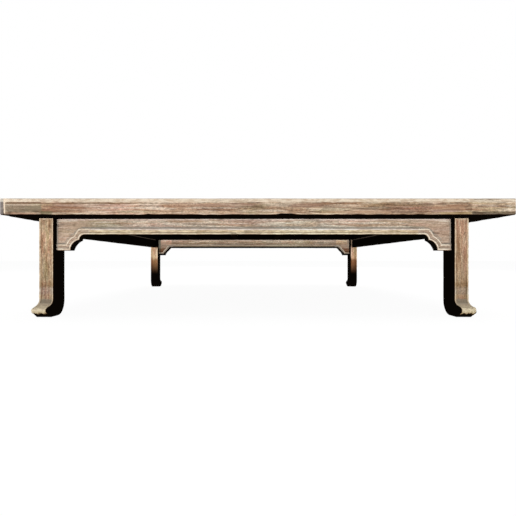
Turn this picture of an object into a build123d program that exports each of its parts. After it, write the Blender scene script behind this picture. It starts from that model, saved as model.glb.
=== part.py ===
from build123d import *
import os

# A low table for use on a heated brick platform. A mitred frame holds a floating panel
# of three boards. Four square legs turn outward into scrolled feet, and are joined by
# deep carved aprons at front and back and by straight aprons at the ends.
#
# The origin is on the floor under the middle of the top. X runs along the table, Y
# through its depth with the front at -Y, and Z up. All sizes are in millimetres. The
# underframe, which is the legs and the aprons, stands a little left of the top's middle.

# ---- Driving dimensions ---------------------------------------------------------------

LENGTH = 1220
DEPTH = 800
HEIGHT = 290

# How far the underframe stands from the middle of the top, along X.
UNDERFRAME_SHIFT = -9.5

# Top frame: four mitred rails.
TOP_THICKNESS = 40
RAIL_WIDTH = 100
TOP_ROUND = 3
LOWER_ROUND = 2.5
CORNER_TENON_THICKNESS = 14
CORNER_TENON_WIDTH = 34
CORNER_TENON_SETBACK = 28

# Floating panel: boards along X, with a tongue all round in the frame's groove.
BOARD_COUNT = 3
BOARD_THICKNESS = 14
PANEL_GAP = 0.5
TONGUE_LENGTH = 7
TONGUE_THICKNESS = 6
TONGUE_RAISE = 2
GROOVE_CLEARANCE = 1
BOARD_PIN_COUNT = 5
BOARD_PIN_SPACING = 208
BOARD_PIN_RADIUS = 2.5
BOARD_PIN_LENGTH = 36

# Battens: they run through the depth, dovetailed up into the boards.
BATTEN_COUNT = 4
BATTEN_SPACING = 208
BATTEN_WIDTH = 24
BATTEN_DEPTH = 24
DOVETAIL_NECK = 14
DOVETAIL_HEAD = 20
DOVETAIL_HEIGHT = 5
BATTEN_TENON_WIDTH = 12
BATTEN_TENON_HEIGHT = 14
BATTEN_TENON_LENGTH = 12

# Legs: square, with a foot that turns outward in depth.
LEG_SIZE = 37
LEG_END_OVERHANG = 63
LEG_FACE_OVERHANG = 44
LEG_TENON_SIZE = 18
LEG_TENON_HEIGHT = 26
LEG_TENON_INSET = 5
LEG_TENON_FRONT_INSET = 4
LEG_OUTER_BEAD = 4
LEG_INNER_BEAD = 5
LEG_FIELD_DEPTH = 1
TOE_REACH = 29.8
TOE_SPRING_HEIGHT = 32.8
TOE_SPRING_ROUND = 15
TOE_NOSE_HEIGHT = 21.6
TOE_NOSE_ROUND = 8
SOLE_FRONT = 6
HEEL_RADIUS = 21.5
HEEL_HEIGHT = 38
TOE_CARVED_ABOVE = 28

# Aprons.
APRON_THICKNESS = 17
APRON_SETBACK = 9.5
LONG_APRON_HEIGHT = 40
END_APRON_HEIGHT = 41
SPANDREL_HEIGHT = 80.5
SPANDREL_FLAT = 35
LARGE_COVE = 27
SMALL_COVE = 14
COVE_STEP = 4
BAND_WIDTH = 15.5
BAND_OUTER_EDGE = 4
BAND_INNER_EDGE = 4
BAND_HOLLOW_DEPTH = 1
FIELD_DEPTH = 1.5
APRON_TENON_LENGTH = 14
APRON_TENON_THICKNESS = 8
LONG_APRON_TENON = (65, 10)
END_APRON_TENON = (36, 6)

# Fasteners: hardwood wedges, bamboo pegs and dowels.
WEDGE_LENGTH = 22
WEDGE_BUTT = 3
WEDGE_OFFSET = 9
CORNER_PEG_RADIUS = 3.5
CORNER_PEG_INSET = 33
APRON_PEG_RADIUS = 2.5
APRON_PEG_LENGTH = 30
LONG_APRON_PEG_DROP = 28
END_APRON_PEG_DROP = 14
APRON_DOWEL_RADIUS = 4
APRON_DOWEL_HALF_LENGTH = 12
LONG_APRON_DOWELS = (-300, 0, 300)
END_APRON_DOWELS = (-150, 150)

# ---- Places worked out from them -------------------------------------------------------

END_X = LENGTH / 2
FACE_Y = DEPTH / 2
UNDERSIDE = HEIGHT - TOP_THICKNESS
INNER_X = END_X - RAIL_WIDTH
INNER_Y = FACE_Y - RAIL_WIDTH
MID_TOP = HEIGHT - TOP_THICKNESS / 2

LEG_OUT_X = END_X - LEG_END_OVERHANG
LEG_IN_X = LEG_OUT_X - LEG_SIZE
LEG_OUT_Y = FACE_Y - LEG_FACE_OVERHANG
LEG_IN_Y = LEG_OUT_Y - LEG_SIZE

# Middle planes of the aprons, outer faces set back from the faces of the legs.
LONG_APRON_Y = LEG_OUT_Y - APRON_SETBACK - APRON_THICKNESS / 2
END_APRON_X = LEG_OUT_X - APRON_SETBACK - APRON_THICKNESS / 2
LONG_APRON_EDGE = UNDERSIDE - LONG_APRON_HEIGHT
END_APRON_EDGE = UNDERSIDE - END_APRON_HEIGHT
SPANDREL_EDGE = UNDERSIDE - SPANDREL_HEIGHT

BOARD_UNDERSIDE = HEIGHT - BOARD_THICKNESS
TONGUE_BOTTOM = BOARD_UNDERSIDE + TONGUE_RAISE
TONGUE_TOP = TONGUE_BOTTOM + TONGUE_THICKNESS
BOARD_PITCH = 2 * INNER_Y / BOARD_COUNT


# ---- Helpers ---------------------------------------------------------------------------

def block(x_range, y_range, z_range):
    """A squared block that fills three ranges."""
    ranges = (x_range, y_range, z_range)
    size = [high - low for low, high in ranges]
    middle = [(low + high) / 2 for low, high in ranges]
    return Pos(*middle) * Box(*size)


def around(middle, width):
    """The range of a given width about its middle."""
    return (middle - width / 2, middle + width / 2)


def centred_places(count, spacing):
    """Evenly spaced places, symmetric about zero."""
    return [(i - (count - 1) / 2) * spacing for i in range(count)]


def both_ends(shapes):
    """Shapes at the right end, and their mirror images at the left end."""
    return [*shapes, *[mirror(shape, about=Plane.YZ) for shape in shapes]]


def both_faces(shapes):
    """Shapes at the front, and their mirror images at the back."""
    return [*shapes, *[mirror(shape, about=Plane.XZ) for shape in shapes]]


def under_the_top(shapes):
    """Shapes of the underframe, moved from the middle to where they stand."""
    return [Pos(UNDERFRAME_SHIFT, 0, 0) * shape for shape in shapes]


def upright_slab(outline, y_middle, thickness):
    """An outline drawn in X and Z, given a thickness in Y about its middle plane."""
    return Pos(0, y_middle + thickness / 2, 0) * extrude(Plane.XZ * outline, thickness)


def rod(start, axis, radius, length):
    """A round rod from one end, along an axis."""
    end_plane = Plane(origin=start, z_dir=axis)
    return end_plane * Cylinder(radius, length, align=(Align.CENTER, Align.CENTER, Align.MIN))


def rectangle_between(x_range, z_range):
    """A flat rectangle that fills two ranges."""
    width = x_range[1] - x_range[0]
    height = z_range[1] - z_range[0]
    return Pos(sum(x_range) / 2, sum(z_range) / 2) * Rectangle(width, height)


# ---- Fasteners, at the front right corner or as full sets --------------------------------

def corner_tenon():
    """Through tenon of a long rail, from well inside its mitre to the table's end."""
    y_outer = -FACE_Y + CORNER_TENON_SETBACK
    y_range = (y_outer, y_outer + CORNER_TENON_WIDTH)
    return block((INNER_X, END_X), y_range, around(MID_TOP, CORNER_TENON_THICKNESS))


def corner_wedges():
    """Two wedges driven into the end of a through tenon."""
    tenon_y = -FACE_Y + CORNER_TENON_SETBACK + CORNER_TENON_WIDTH / 2
    half_butt = WEDGE_BUTT / 2
    wedge_face = make_face(Polyline(
        (END_X, -half_butt), (END_X, half_butt), (END_X - WEDGE_LENGTH, 0), close=True))
    wedge = extrude(wedge_face, CORNER_TENON_THICKNESS)
    bottom = MID_TOP - CORNER_TENON_THICKNESS / 2
    return [Pos(0, tenon_y + side * WEDGE_OFFSET, bottom) * wedge for side in (-1, 1)]


def corner_peg():
    """A peg up through the frame and the through tenon, flush above and below."""
    tenon_y = -FACE_Y + CORNER_TENON_SETBACK + CORNER_TENON_WIDTH / 2
    start = (END_X - CORNER_PEG_INSET, tenon_y, UNDERSIDE)
    return rod(start, (0, 0, 1), CORNER_PEG_RADIUS, TOP_THICKNESS)


def leg_tenon():
    """Blind tenon on top of a leg, inside the long rail's side of the mitre."""
    x_low = LEG_IN_X + LEG_TENON_INSET
    y_low = -LEG_OUT_Y + LEG_TENON_FRONT_INSET
    x_range = (x_low, x_low + LEG_TENON_SIZE)
    y_range = (y_low, y_low + LEG_TENON_SIZE)
    return block(x_range, y_range, (UNDERSIDE, UNDERSIDE + LEG_TENON_HEIGHT))


def long_apron_tenon():
    """Stub tenon of the front apron, in the side of a leg."""
    z_range = [UNDERSIDE - drop for drop in LONG_APRON_TENON]
    x_range = (LEG_IN_X, LEG_IN_X + APRON_TENON_LENGTH)
    return block(x_range, around(-LONG_APRON_Y, APRON_TENON_THICKNESS), z_range)


def end_apron_tenon():
    """Stub tenon of an end apron, in the inner face of a leg."""
    z_range = [UNDERSIDE - drop for drop in END_APRON_TENON]
    y_range = (-LEG_IN_Y - APRON_TENON_LENGTH, -LEG_IN_Y)
    return block(around(END_APRON_X, APRON_TENON_THICKNESS), y_range, z_range)


def apron_pegs():
    """The two pegs of one leg, driven from inside through the apron tenons."""
    tenon_middle = APRON_TENON_LENGTH / 2
    long_start = (LEG_IN_X + tenon_middle, -LEG_IN_Y, UNDERSIDE - LONG_APRON_PEG_DROP)
    end_start = (LEG_IN_X, -LEG_IN_Y - tenon_middle, UNDERSIDE - END_APRON_PEG_DROP)
    return [
        rod(long_start, (0, -1, 0), APRON_PEG_RADIUS, APRON_PEG_LENGTH),
        rod(end_start, (1, 0, 0), APRON_PEG_RADIUS, APRON_PEG_LENGTH),
    ]


def apron_dowels():
    """Dowels that stand half in the aprons and half in the frame."""
    bottom = UNDERSIDE - APRON_DOWEL_HALF_LENGTH
    length = 2 * APRON_DOWEL_HALF_LENGTH
    front = [rod((x, -LONG_APRON_Y, bottom), (0, 0, 1), APRON_DOWEL_RADIUS, length)
             for x in LONG_APRON_DOWELS]
    right = [rod((END_APRON_X, y, bottom), (0, 0, 1), APRON_DOWEL_RADIUS, length)
             for y in END_APRON_DOWELS]
    return both_faces(front) + both_ends(right)


def board_pins():
    """Pins across the glued joints between the boards."""
    pins = []
    for seam in range(1, BOARD_COUNT):
        seam_y = -INNER_Y + seam * BOARD_PITCH
        for x in centred_places(BOARD_PIN_COUNT, BOARD_PIN_SPACING):
            start = (x, seam_y - BOARD_PIN_LENGTH / 2, HEIGHT - BOARD_THICKNESS / 2)
            pins.append(rod(start, (0, 1, 0), BOARD_PIN_RADIUS, BOARD_PIN_LENGTH))
    return pins


# ---- Top ---------------------------------------------------------------------------------

def batten_tenon(x):
    """The tenon at the front end of a batten."""
    bottom = BOARD_UNDERSIDE - BATTEN_DEPTH
    z_range = around(bottom + BATTEN_DEPTH / 2, BATTEN_TENON_HEIGHT)
    y_range = (-INNER_Y - BATTEN_TENON_LENGTH, -INNER_Y)
    return block(around(x, BATTEN_TENON_WIDTH), y_range, z_range)


def dovetail(x, length):
    """The dovetailed key along the top of a batten."""
    key = make_face(Polyline(
        (x - DOVETAIL_NECK / 2, BOARD_UNDERSIDE),
        (x + DOVETAIL_NECK / 2, BOARD_UNDERSIDE),
        (x + DOVETAIL_HEAD / 2, BOARD_UNDERSIDE + DOVETAIL_HEIGHT),
        (x - DOVETAIL_HEAD / 2, BOARD_UNDERSIDE + DOVETAIL_HEIGHT),
        close=True))
    return upright_slab(key, 0, length)


def batten(x):
    """One cross batten with its key and its two end tenons."""
    z_range = (BOARD_UNDERSIDE - BATTEN_DEPTH, BOARD_UNDERSIDE)
    body = block(around(x, BATTEN_WIDTH), (-INNER_Y, INNER_Y), z_range)
    key = dovetail(x, 2 * (INNER_Y - PANEL_GAP))
    return body + key + both_faces([batten_tenon(x)])


def top_board(index, batten_places, pins):
    """One board of the panel; the outer boards carry the long tongues too."""
    x_reach = INNER_X - PANEL_GAP
    y_low = -INNER_Y + index * BOARD_PITCH
    y_high = y_low + BOARD_PITCH
    tongue_low = y_low
    tongue_high = y_high
    if index == 0:
        y_low += PANEL_GAP
        tongue_low = -INNER_Y - TONGUE_LENGTH
    if index == BOARD_COUNT - 1:
        y_high -= PANEL_GAP
        tongue_high = INNER_Y + TONGUE_LENGTH
    tongue_reach = INNER_X + TONGUE_LENGTH
    field = block((-x_reach, x_reach), (y_low, y_high), (BOARD_UNDERSIDE, HEIGHT))
    tongue = block((-tongue_reach, tongue_reach), (tongue_low, tongue_high),
                   (TONGUE_BOTTOM, TONGUE_TOP))
    slots = [dovetail(x, DEPTH) for x in batten_places]
    return field + tongue - slots - pins


def rail_blank(corners, along, outward):
    """A mitred rail before its joints are cut, with its outer arrises rounded."""
    plan = make_face(Polyline(*corners, close=True))
    blank = extrude(Pos(0, 0, UNDERSIDE) * plan, TOP_THICKNESS)
    for low_or_high, radius in ((0, LOWER_ROUND), (-1, TOP_ROUND)):
        outer = blank.edges().filter_by(along).sort_by(outward)[-2:]
        blank = fillet(outer.sort_by(Axis.Z)[low_or_high], radius)
    return blank


def panel_groove():
    """The groove round the inside of the frame, as one flat block."""
    reach = TONGUE_LENGTH + GROOVE_CLEARANCE
    return block((-INNER_X - reach, INNER_X + reach), (-INNER_Y - reach, INNER_Y + reach),
                 (TONGUE_BOTTOM, TONGUE_TOP))


def front_rail(batten_places, dowels):
    """The front long rail, with a through tenon at each end and mortises for both legs."""
    corners = [(-END_X, -FACE_Y), (END_X, -FACE_Y), (INNER_X, -INNER_Y), (-INNER_X, -INNER_Y)]
    blank = rail_blank(corners, Axis.X, Axis((0, 0, 0), (0, -1, 0)))
    rail = blank + both_ends([corner_tenon()])
    rail -= panel_groove()
    rail -= both_ends([corner_peg(), *corner_wedges()])
    rail -= [batten_tenon(x) for x in batten_places]
    return rail - under_the_top(both_ends([leg_tenon()])) - dowels


def right_rail():
    """The right end rail, with the mortises for both through tenons."""
    corners = [(END_X, -FACE_Y), (END_X, FACE_Y), (INNER_X, INNER_Y), (INNER_X, -INNER_Y)]
    blank = rail_blank(corners, Axis.Y, Axis.X)
    rail = blank - both_faces([corner_tenon(), corner_peg()])
    return rail - panel_groove()


# ---- Legs --------------------------------------------------------------------------------

def leg_profile():
    """Side outline of a leg: outward from its outer face, and upward from the floor."""
    front = FilletPolyline(
        (0, UNDERSIDE), (0, TOE_SPRING_HEIGHT), (TOE_REACH, TOE_NOSE_HEIGHT), (SOLE_FRONT, 0),
        radius=(TOE_SPRING_ROUND, TOE_NOSE_ROUND))
    sole_back = HEEL_RADIUS - LEG_SIZE
    sole = Line((SOLE_FRONT, 0), (sole_back, 0))
    heel = EllipticalCenterArc(
        (sole_back, HEEL_HEIGHT), HEEL_RADIUS, HEEL_HEIGHT, start_angle=180, arc_size=90)
    back = Line((-LEG_SIZE, HEEL_HEIGHT), (-LEG_SIZE, UNDERSIDE))
    top = Line((-LEG_SIZE, UNDERSIDE), (0, UNDERSIDE))
    return make_face(front + sole + heel + back + top)


def leg():
    """The front right leg, with its tenon, apron mortises and peg holes."""
    side_plane = Plane(origin=(LEG_OUT_X, -LEG_OUT_Y, 0), x_dir=(0, -1, 0), z_dir=(-1, 0, 0))
    profile = leg_profile()
    post = extrude(side_plane * profile, LEG_SIZE)

    # Between the beads the outer and inner faces are sunk, down to where the foot begins.
    field_width = LEG_SIZE - LEG_OUTER_BEAD - LEG_INNER_BEAD
    field_plane = side_plane.offset(LEG_OUTER_BEAD)
    whole = rectangle_between((-LEG_SIZE, TOE_REACH), (TOE_CARVED_ABOVE, UNDERSIDE))
    for sink in (-LEG_FIELD_DEPTH, LEG_FIELD_DEPTH):
        skin = (profile - Pos(sink, 0) * profile) & whole
        post -= extrude(field_plane * skin, field_width)

    return post + leg_tenon() - [long_apron_tenon(), end_apron_tenon(), *apron_pegs()]


# ---- Aprons ------------------------------------------------------------------------------

def clear_space(margin):
    """The open space under a long apron, grown by a margin into the wood.

    Going in from the leg its edge is a flat, a large cove, a small cove and a long
    straight. A grown copy of it gives the lines of the carved band.
    """
    flat_end = LEG_IN_X - SPANDREL_FLAT
    large_x = flat_end - LARGE_COVE
    small_x = large_x + COVE_STEP - SMALL_COVE
    small_z = LONG_APRON_EDGE - SMALL_COVE
    small_reach = small_x + SMALL_COVE + margin
    space = rectangle_between((-LEG_IN_X, LEG_IN_X), (0, SPANDREL_EDGE + margin))
    space += rectangle_between((-small_reach, small_reach), (0, small_z))
    space += rectangle_between((-small_x, small_x), (0, LONG_APRON_EDGE + margin))
    for side in (-1, 1):
        space += Pos(side * large_x, SPANDREL_EDGE) * Circle(LARGE_COVE + margin)
        space += Pos(side * small_x, small_z) * Circle(SMALL_COVE + margin)
    return space


def long_apron(dowels):
    """The front apron: carved alike on both faces, with a stub tenon at each end."""
    blank = rectangle_between((-LEG_IN_X, LEG_IN_X), (SPANDREL_EDGE, UNDERSIDE))
    board = upright_slab(blank - clear_space(0), -LONG_APRON_Y, APRON_THICKNESS)
    field = blank - clear_space(BAND_WIDTH)
    hollow = clear_space(BAND_WIDTH - BAND_INNER_EDGE) - clear_space(BAND_OUTER_EDGE)
    for face in (-1, 1):
        face_y = -LONG_APRON_Y + face * APRON_THICKNESS / 2
        board -= upright_slab(field, face_y, 2 * FIELD_DEPTH)
        board -= upright_slab(hollow & blank, face_y, 2 * BAND_HOLLOW_DEPTH)
    pegs = both_ends([apron_pegs()[0]])
    return board + both_ends([long_apron_tenon()]) - pegs - dowels


def right_apron(dowels):
    """The right end apron: a straight board, with the band on its outer face."""
    outer_x = END_APRON_X + APRON_THICKNESS / 2
    inner_x = END_APRON_X - APRON_THICKNESS / 2
    y_range = (-LEG_IN_Y, LEG_IN_Y)
    board = block((inner_x, outer_x), y_range, (END_APRON_EDGE, UNDERSIDE))
    band_top = END_APRON_EDGE + BAND_WIDTH
    board -= block((outer_x - FIELD_DEPTH, outer_x), y_range, (band_top, UNDERSIDE))
    hollow_z = (END_APRON_EDGE + BAND_OUTER_EDGE, band_top - BAND_INNER_EDGE)
    board -= block((outer_x - BAND_HOLLOW_DEPTH, outer_x), y_range, hollow_z)
    pegs = both_faces([apron_pegs()[1]])
    return board + both_faces([end_apron_tenon()]) - pegs - dowels


# ---- Assembly ----------------------------------------------------------------------------

def build():
    """Every piece of the table, by name."""
    batten_places = centred_places(BATTEN_COUNT, BATTEN_SPACING)
    pins = board_pins()
    dowels = apron_dowels()
    placed_dowels = under_the_top(dowels)

    front = front_rail(batten_places, placed_dowels)
    right = right_rail()
    pieces = {
        "front_long_rail": front,
        "back_long_rail": mirror(front, about=Plane.XZ),
        "right_end_rail": right - placed_dowels,
        "left_end_rail": mirror(right, about=Plane.YZ) - placed_dowels,
    }
    for index, name in enumerate(("front", "middle", "back")):
        pieces[f"{name}_top_board"] = top_board(index, batten_places, pins)
    for number, x in enumerate(batten_places, start=1):
        pieces[f"batten_{number}"] = batten(x)

    right_front_leg = leg()
    right_back_leg = mirror(right_front_leg, about=Plane.XZ)
    apron = long_apron(dowels)
    end_apron = right_apron(dowels)
    underframe = {
        "front_right_leg": right_front_leg,
        "front_left_leg": mirror(right_front_leg, about=Plane.YZ),
        "back_right_leg": right_back_leg,
        "back_left_leg": mirror(right_back_leg, about=Plane.YZ),
        "front_apron": apron,
        "back_apron": mirror(apron, about=Plane.XZ),
        "right_end_apron": end_apron,
        "left_end_apron": mirror(end_apron, about=Plane.YZ),
    }
    pieces.update(zip(underframe, under_the_top(underframe.values())))

    groups = {
        "tenon_wedges": both_faces(both_ends(corner_wedges())),
        "corner_pegs": both_faces(both_ends([corner_peg()])),
        "apron_pegs": under_the_top(both_faces(both_ends(apron_pegs()))),
        "apron_dowels": placed_dowels,
        "board_pins": pins,
    }
    for name, solids in groups.items():
        pieces[name] = Compound(children=solids)
    return pieces


os.makedirs("parts", exist_ok=True)
for name, piece in build().items():
    export_step(piece, f"parts/{name}.step")
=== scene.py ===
# %% [markdown]
# # A low table in weathered elm
#
# This lesson dresses a finished construction model. The model gives every timber its real
# size and place; here each timber gets the surface that a century of use leaves: round
# arrises, a wavy lower edge, hollowed carving and dry grain. Undersides and faces that look
# inward are painted black as shade. The first step loads the model. Its parts never move, so
# a new piece is right when it fills the same space as the part that it stands for.

# %% Load the construction model
import math

import bmesh
import bpy
import numpy as np
from mathutils import Matrix, Vector


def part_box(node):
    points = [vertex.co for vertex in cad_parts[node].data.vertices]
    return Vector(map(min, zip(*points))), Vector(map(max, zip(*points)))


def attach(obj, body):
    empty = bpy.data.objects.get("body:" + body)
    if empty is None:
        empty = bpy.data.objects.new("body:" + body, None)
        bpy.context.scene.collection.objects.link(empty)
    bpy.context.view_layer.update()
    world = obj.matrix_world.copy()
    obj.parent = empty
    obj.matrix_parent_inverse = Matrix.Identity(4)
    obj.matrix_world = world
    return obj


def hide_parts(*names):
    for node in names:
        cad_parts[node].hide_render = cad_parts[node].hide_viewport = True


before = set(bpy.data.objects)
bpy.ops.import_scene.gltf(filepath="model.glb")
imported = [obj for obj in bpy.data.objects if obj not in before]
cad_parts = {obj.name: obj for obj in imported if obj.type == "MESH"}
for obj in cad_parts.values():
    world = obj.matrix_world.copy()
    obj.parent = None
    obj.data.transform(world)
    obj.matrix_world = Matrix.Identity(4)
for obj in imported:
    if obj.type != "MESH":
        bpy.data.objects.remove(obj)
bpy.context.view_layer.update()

print("parts in the model:", len(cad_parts))

# %% [markdown]
# ## Sizes taken from the model
#
# Nothing is typed twice. The outer faces, the underside of the top and the faces of the
# legs are all read from the boxes of the parts, in metres. X runs along the table, Y from
# front to back and Z up, and the origin is on the floor under the middle of the top.
#
# The underframe, which is the legs and the aprons, stands a little left of that middle. Its
# pieces are modelled about X = 0, where left and right are mirror images, and moved to
# their place at the end. The camera stands in front of the underframe's middle, and the
# colours and marks of every timber are measured from there too.

# %% Sizes taken from the model
MM = 0.001
BODY = "root"

rail_low, rail_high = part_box("front_long_rail")
END_X = rail_high.x
FACE_Y = -rail_low.y
UNDERSIDE = rail_low.z
TOP_Z = rail_high.z
RAIL_IN_Y = -rail_high.y
RAIL_IN_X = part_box("right_end_rail")[0].x

leg_low, leg_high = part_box("front_right_leg")
UNDERFRAME_X = (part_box("front_left_leg")[0].x + leg_high.x) / 2
LEG_IN_X = leg_low.x - UNDERFRAME_X
LEG_OUT_X = leg_high.x - UNDERFRAME_X
LEG_SIZE = LEG_OUT_X - LEG_IN_X
LEG_IN_Y = -leg_high.y
LEG_OUT_Y = LEG_IN_Y + LEG_SIZE

apron_low, apron_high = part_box("front_apron")
LONG_APRON_OUT_Y = -apron_low.y
LONG_APRON_IN_Y = -apron_high.y
SPANDREL_EDGE = apron_low.z

end_apron_low, end_apron_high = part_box("right_end_apron")
END_APRON_OUT_X = end_apron_high.x - UNDERFRAME_X
END_APRON_EDGE = end_apron_low.z

print("top", TOP_Z, "underside", UNDERSIDE, "leg", round(LEG_SIZE, 4), "square")
print("middle of the underframe, mm:", round(UNDERFRAME_X / MM, 2))

# %% [markdown]
# ## The camera
#
# The table is seen square on, from just above its lower edges, and from close by, so its
# depth opens out strongly. The lens is short, and the camera is level, which keeps every
# upright upright. A very small shift sets the vanishing point a little left of the middle.

# %% The camera
IMAGE_SIZE = 516
FOCAL_PIXELS = 244.5
EYE_HEIGHT = 0.1445
EYE_DISTANCE = 0.978
VANISHING_LEFT = 4.1
VANISHING_DOWN = 1.7

camera_data = bpy.data.cameras.new("camera")
camera_data.sensor_width = 36
camera_data.lens = camera_data.sensor_width * FOCAL_PIXELS / IMAGE_SIZE
camera_data.shift_x = VANISHING_LEFT / IMAGE_SIZE
camera_data.shift_y = VANISHING_DOWN / IMAGE_SIZE
camera_data.clip_start = 0.01
camera = bpy.data.objects.new("camera", camera_data)
camera.location = (UNDERFRAME_X, -EYE_DISTANCE, EYE_HEIGHT)
camera.rotation_euler = (math.radians(90), 0, 0)
bpy.context.scene.collection.objects.link(camera)
bpy.context.scene.camera = camera
bpy.context.scene.view_settings.view_transform = "Standard"
print("lens, mm:", round(camera_data.lens, 2))

# %% [markdown]
# ## Working by hand in code
#
# The pieces below are made with the tools of the edit mode. An operator works on whatever
# is selected, so each step first clears the selection and then picks vertices or edges by
# their place. These few helpers do the picking. They are used by every timber.

# %% Helpers for selecting and editing
def deselect_all():
    """Leave edit mode and let go of every object."""
    if bpy.context.mode != "OBJECT":
        bpy.ops.object.mode_set(mode="OBJECT")
    bpy.ops.object.select_all(action="DESELECT")


def take(piece):
    """Make one object the selected and active one."""
    deselect_all()
    piece.select_set(True)
    bpy.context.view_layer.objects.active = piece


def pick(piece, kind, test):
    """In edit mode, select only the VERT or EDGE parts that pass a test."""
    bpy.ops.mesh.select_mode(type=kind)
    bpy.ops.mesh.select_all(action="DESELECT")
    mesh = bmesh.from_edit_mesh(piece.data)
    for part in mesh.verts if kind == "VERT" else mesh.edges:
        if test(part):
            part.select_set(True)
    mesh.select_flush_mode()
    bmesh.update_edit_mesh(piece.data)


def runs_along(edge, axis, shortest):
    """True for an edge that runs mostly along an axis and is long enough."""
    run = edge.verts[1].co - edge.verts[0].co
    return run.length > shortest and abs(run[axis]) > 0.7 * run.length


def edge_middle(edge):
    """The point half way along an edge."""
    return (edge.verts[0].co + edge.verts[1].co) / 2


def name_active(name):
    """Name the active object and its mesh, and hand the object back."""
    piece = bpy.context.object
    piece.name = name
    piece.data.name = name
    return piece


def apply_place():
    """Write the place, turn and size of the selected object into its mesh."""
    bpy.ops.object.transform_apply(location=True, rotation=True, scale=True)


def add_block(name, low, high):
    """A cube primitive made to the size and place of a squared timber."""
    deselect_all()
    low = Vector(low)
    high = Vector(high)
    bpy.ops.mesh.primitive_cube_add(size=1, location=(low + high) / 2, scale=high - low)
    apply_place()
    return name_active(name)


def copy_of(piece, name):
    """A copy with a mesh of its own."""
    take(piece)
    bpy.ops.object.duplicate(linked=False)
    return name_active(name)


def round_every_arris(piece, radius, segments):
    """Go into edit mode and round all the edges of a block."""
    take(piece)
    bpy.ops.object.mode_set(mode="EDIT")
    bpy.ops.mesh.select_all(action="SELECT")
    bpy.ops.mesh.bevel(offset=radius, segments=segments, profile=0.5, affect="EDGES")


def turn_faces_out():
    """In edit mode, point every face outward, then leave edit mode."""
    bpy.ops.mesh.select_all(action="SELECT")
    bpy.ops.mesh.normals_make_consistent(inside=False)
    deselect_all()


def apply_modifier(piece, kind, **settings):
    """Add a modifier, set it and apply it at once."""
    take(piece)
    modifier = piece.modifiers.new(kind.lower(), kind)
    for key, value in settings.items():
        setattr(modifier, key, value)
    bpy.ops.object.modifier_apply(modifier=modifier.name)


print("helpers ready")

# %% [markdown]
# ## Wear in the shape
#
# Old timber is never flat. A slow swell from hand planing runs over every face, and use
# has eaten into the arrises. Both come from displacement by a cloud texture that is read
# in the table's own space, so no two timbers wear alike. A vertex group limits the second
# one to the edges that it should reach.

# %% Wear in the shape
def cloud(name, size, depth=2):
    """A soft noise texture for displacement, with features about size metres across."""
    texture = bpy.data.textures.new(name, "CLOUDS")
    texture.noise_scale = size
    texture.noise_depth = depth
    return texture


PLANING_SWELL = cloud("planing_swell", 0.09)
SMALL_DENTS = cloud("small_dents", 0.012)
ARRIS_WAVES = cloud("arris_waves", 0.030, 3)
ARRIS_CHIPS = cloud("arris_chips", 0.007, 2)


def weigh(piece, name, weight_at):
    """A vertex group whose weights come from a function of the vertex's place."""
    group = piece.vertex_groups.new(name=name)
    for vertex in piece.data.vertices:
        weight = weight_at(vertex.co)
        if weight > 0:
            group.add([vertex.index], min(weight, 1), "REPLACE")
    return group.name


def plane_and_dent(piece, swell=0.7 * MM, dents=0.25 * MM):
    """The slow swell of hand planing, then small dents."""
    apply_modifier(piece, "DISPLACE", texture=PLANING_SWELL, texture_coords="LOCAL",
                   strength=swell, mid_level=0.5)
    apply_modifier(piece, "DISPLACE", texture=SMALL_DENTS, texture_coords="LOCAL",
                   strength=dents, mid_level=0.6)


def wear_group(piece, group, texture, strength, level, direction="NORMAL"):
    """Displace only the vertices of a group. A texture value at the level moves nothing."""
    apply_modifier(piece, "DISPLACE", texture=texture, texture_coords="LOCAL", vertex_group=group,
                   strength=strength, mid_level=level, direction=direction)


print("wear textures:", PLANING_SWELL.name, SMALL_DENTS.name, ARRIS_WAVES.name)

# %% [markdown]
# ## What the finish needs to know
#
# Wear shows as colour too: an arris is rubbed pale and a groove keeps its dirt, and both
# carry painted light as well, a painted highlight on arrises and painted shade in grooves.
# Instead of guessing in the shader, each finished mesh is measured once. For every vertex
# we compare its normal with the way to its neighbours: a positive value stands out, a
# negative one lies in a hollow. The value is stored as an attribute called relief. Three
# more attributes are drawn as functions of place and normal. The first says where hands,
# feet and cloths have polished the wood pale, and where a painted highlight lies along the
# top of the rails. The second says where damp and dust have turned it grey, with painted
# shade in the aprons' grooves and above the feet. The third says where undersides and faces
# that look inward are painted black as shade.

# %% Measure relief and mark rub and highlight, stain and shade, and painted black shade
RELIEF_GAIN = 2.2
NEIGHBOUR_SHARE = 0.4


def read_mesh(piece):
    """Places, normals and edges of a mesh as arrays."""
    mesh = piece.data
    places = np.empty(len(mesh.vertices) * 3, np.float32)
    mesh.vertices.foreach_get("co", places)
    normals = np.empty(len(mesh.vertices) * 3, np.float32)
    mesh.vertices.foreach_get("normal", normals)
    ends = np.empty(len(mesh.edges) * 2, np.int32)
    mesh.edges.foreach_get("vertices", ends)
    return places.reshape(-1, 3), normals.reshape(-1, 3), ends.reshape(-1, 2)


def store(piece, name, values):
    """Store one number per vertex."""
    layer = piece.data.attributes.new(name, "FLOAT", "POINT")
    layer.data.foreach_set("value", np.asarray(values, np.float32))


def measure_relief(piece):
    """How far each vertex stands out of, or lies behind, its neighbours, a little smoothed."""
    places, normals, ends = read_mesh(piece)
    first, second = ends[:, 0], ends[:, 1]
    run = places[first] - places[second]
    run /= np.maximum(np.linalg.norm(run, axis=1, keepdims=True), 1e-9)
    total = np.zeros(len(places))
    count = np.zeros(len(places))
    np.add.at(total, first, (run * normals[first]).sum(axis=1))
    np.add.at(total, second, -(run * normals[second]).sum(axis=1))
    np.add.at(count, first, 1)
    np.add.at(count, second, 1)
    relief = np.clip(RELIEF_GAIN * total / count, -1, 1)
    around = np.zeros(len(places))
    np.add.at(around, first, relief[second])
    np.add.at(around, second, relief[first])
    return (1 - NEIGHBOUR_SHARE) * relief + NEIGHBOUR_SHARE * around / count


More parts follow.
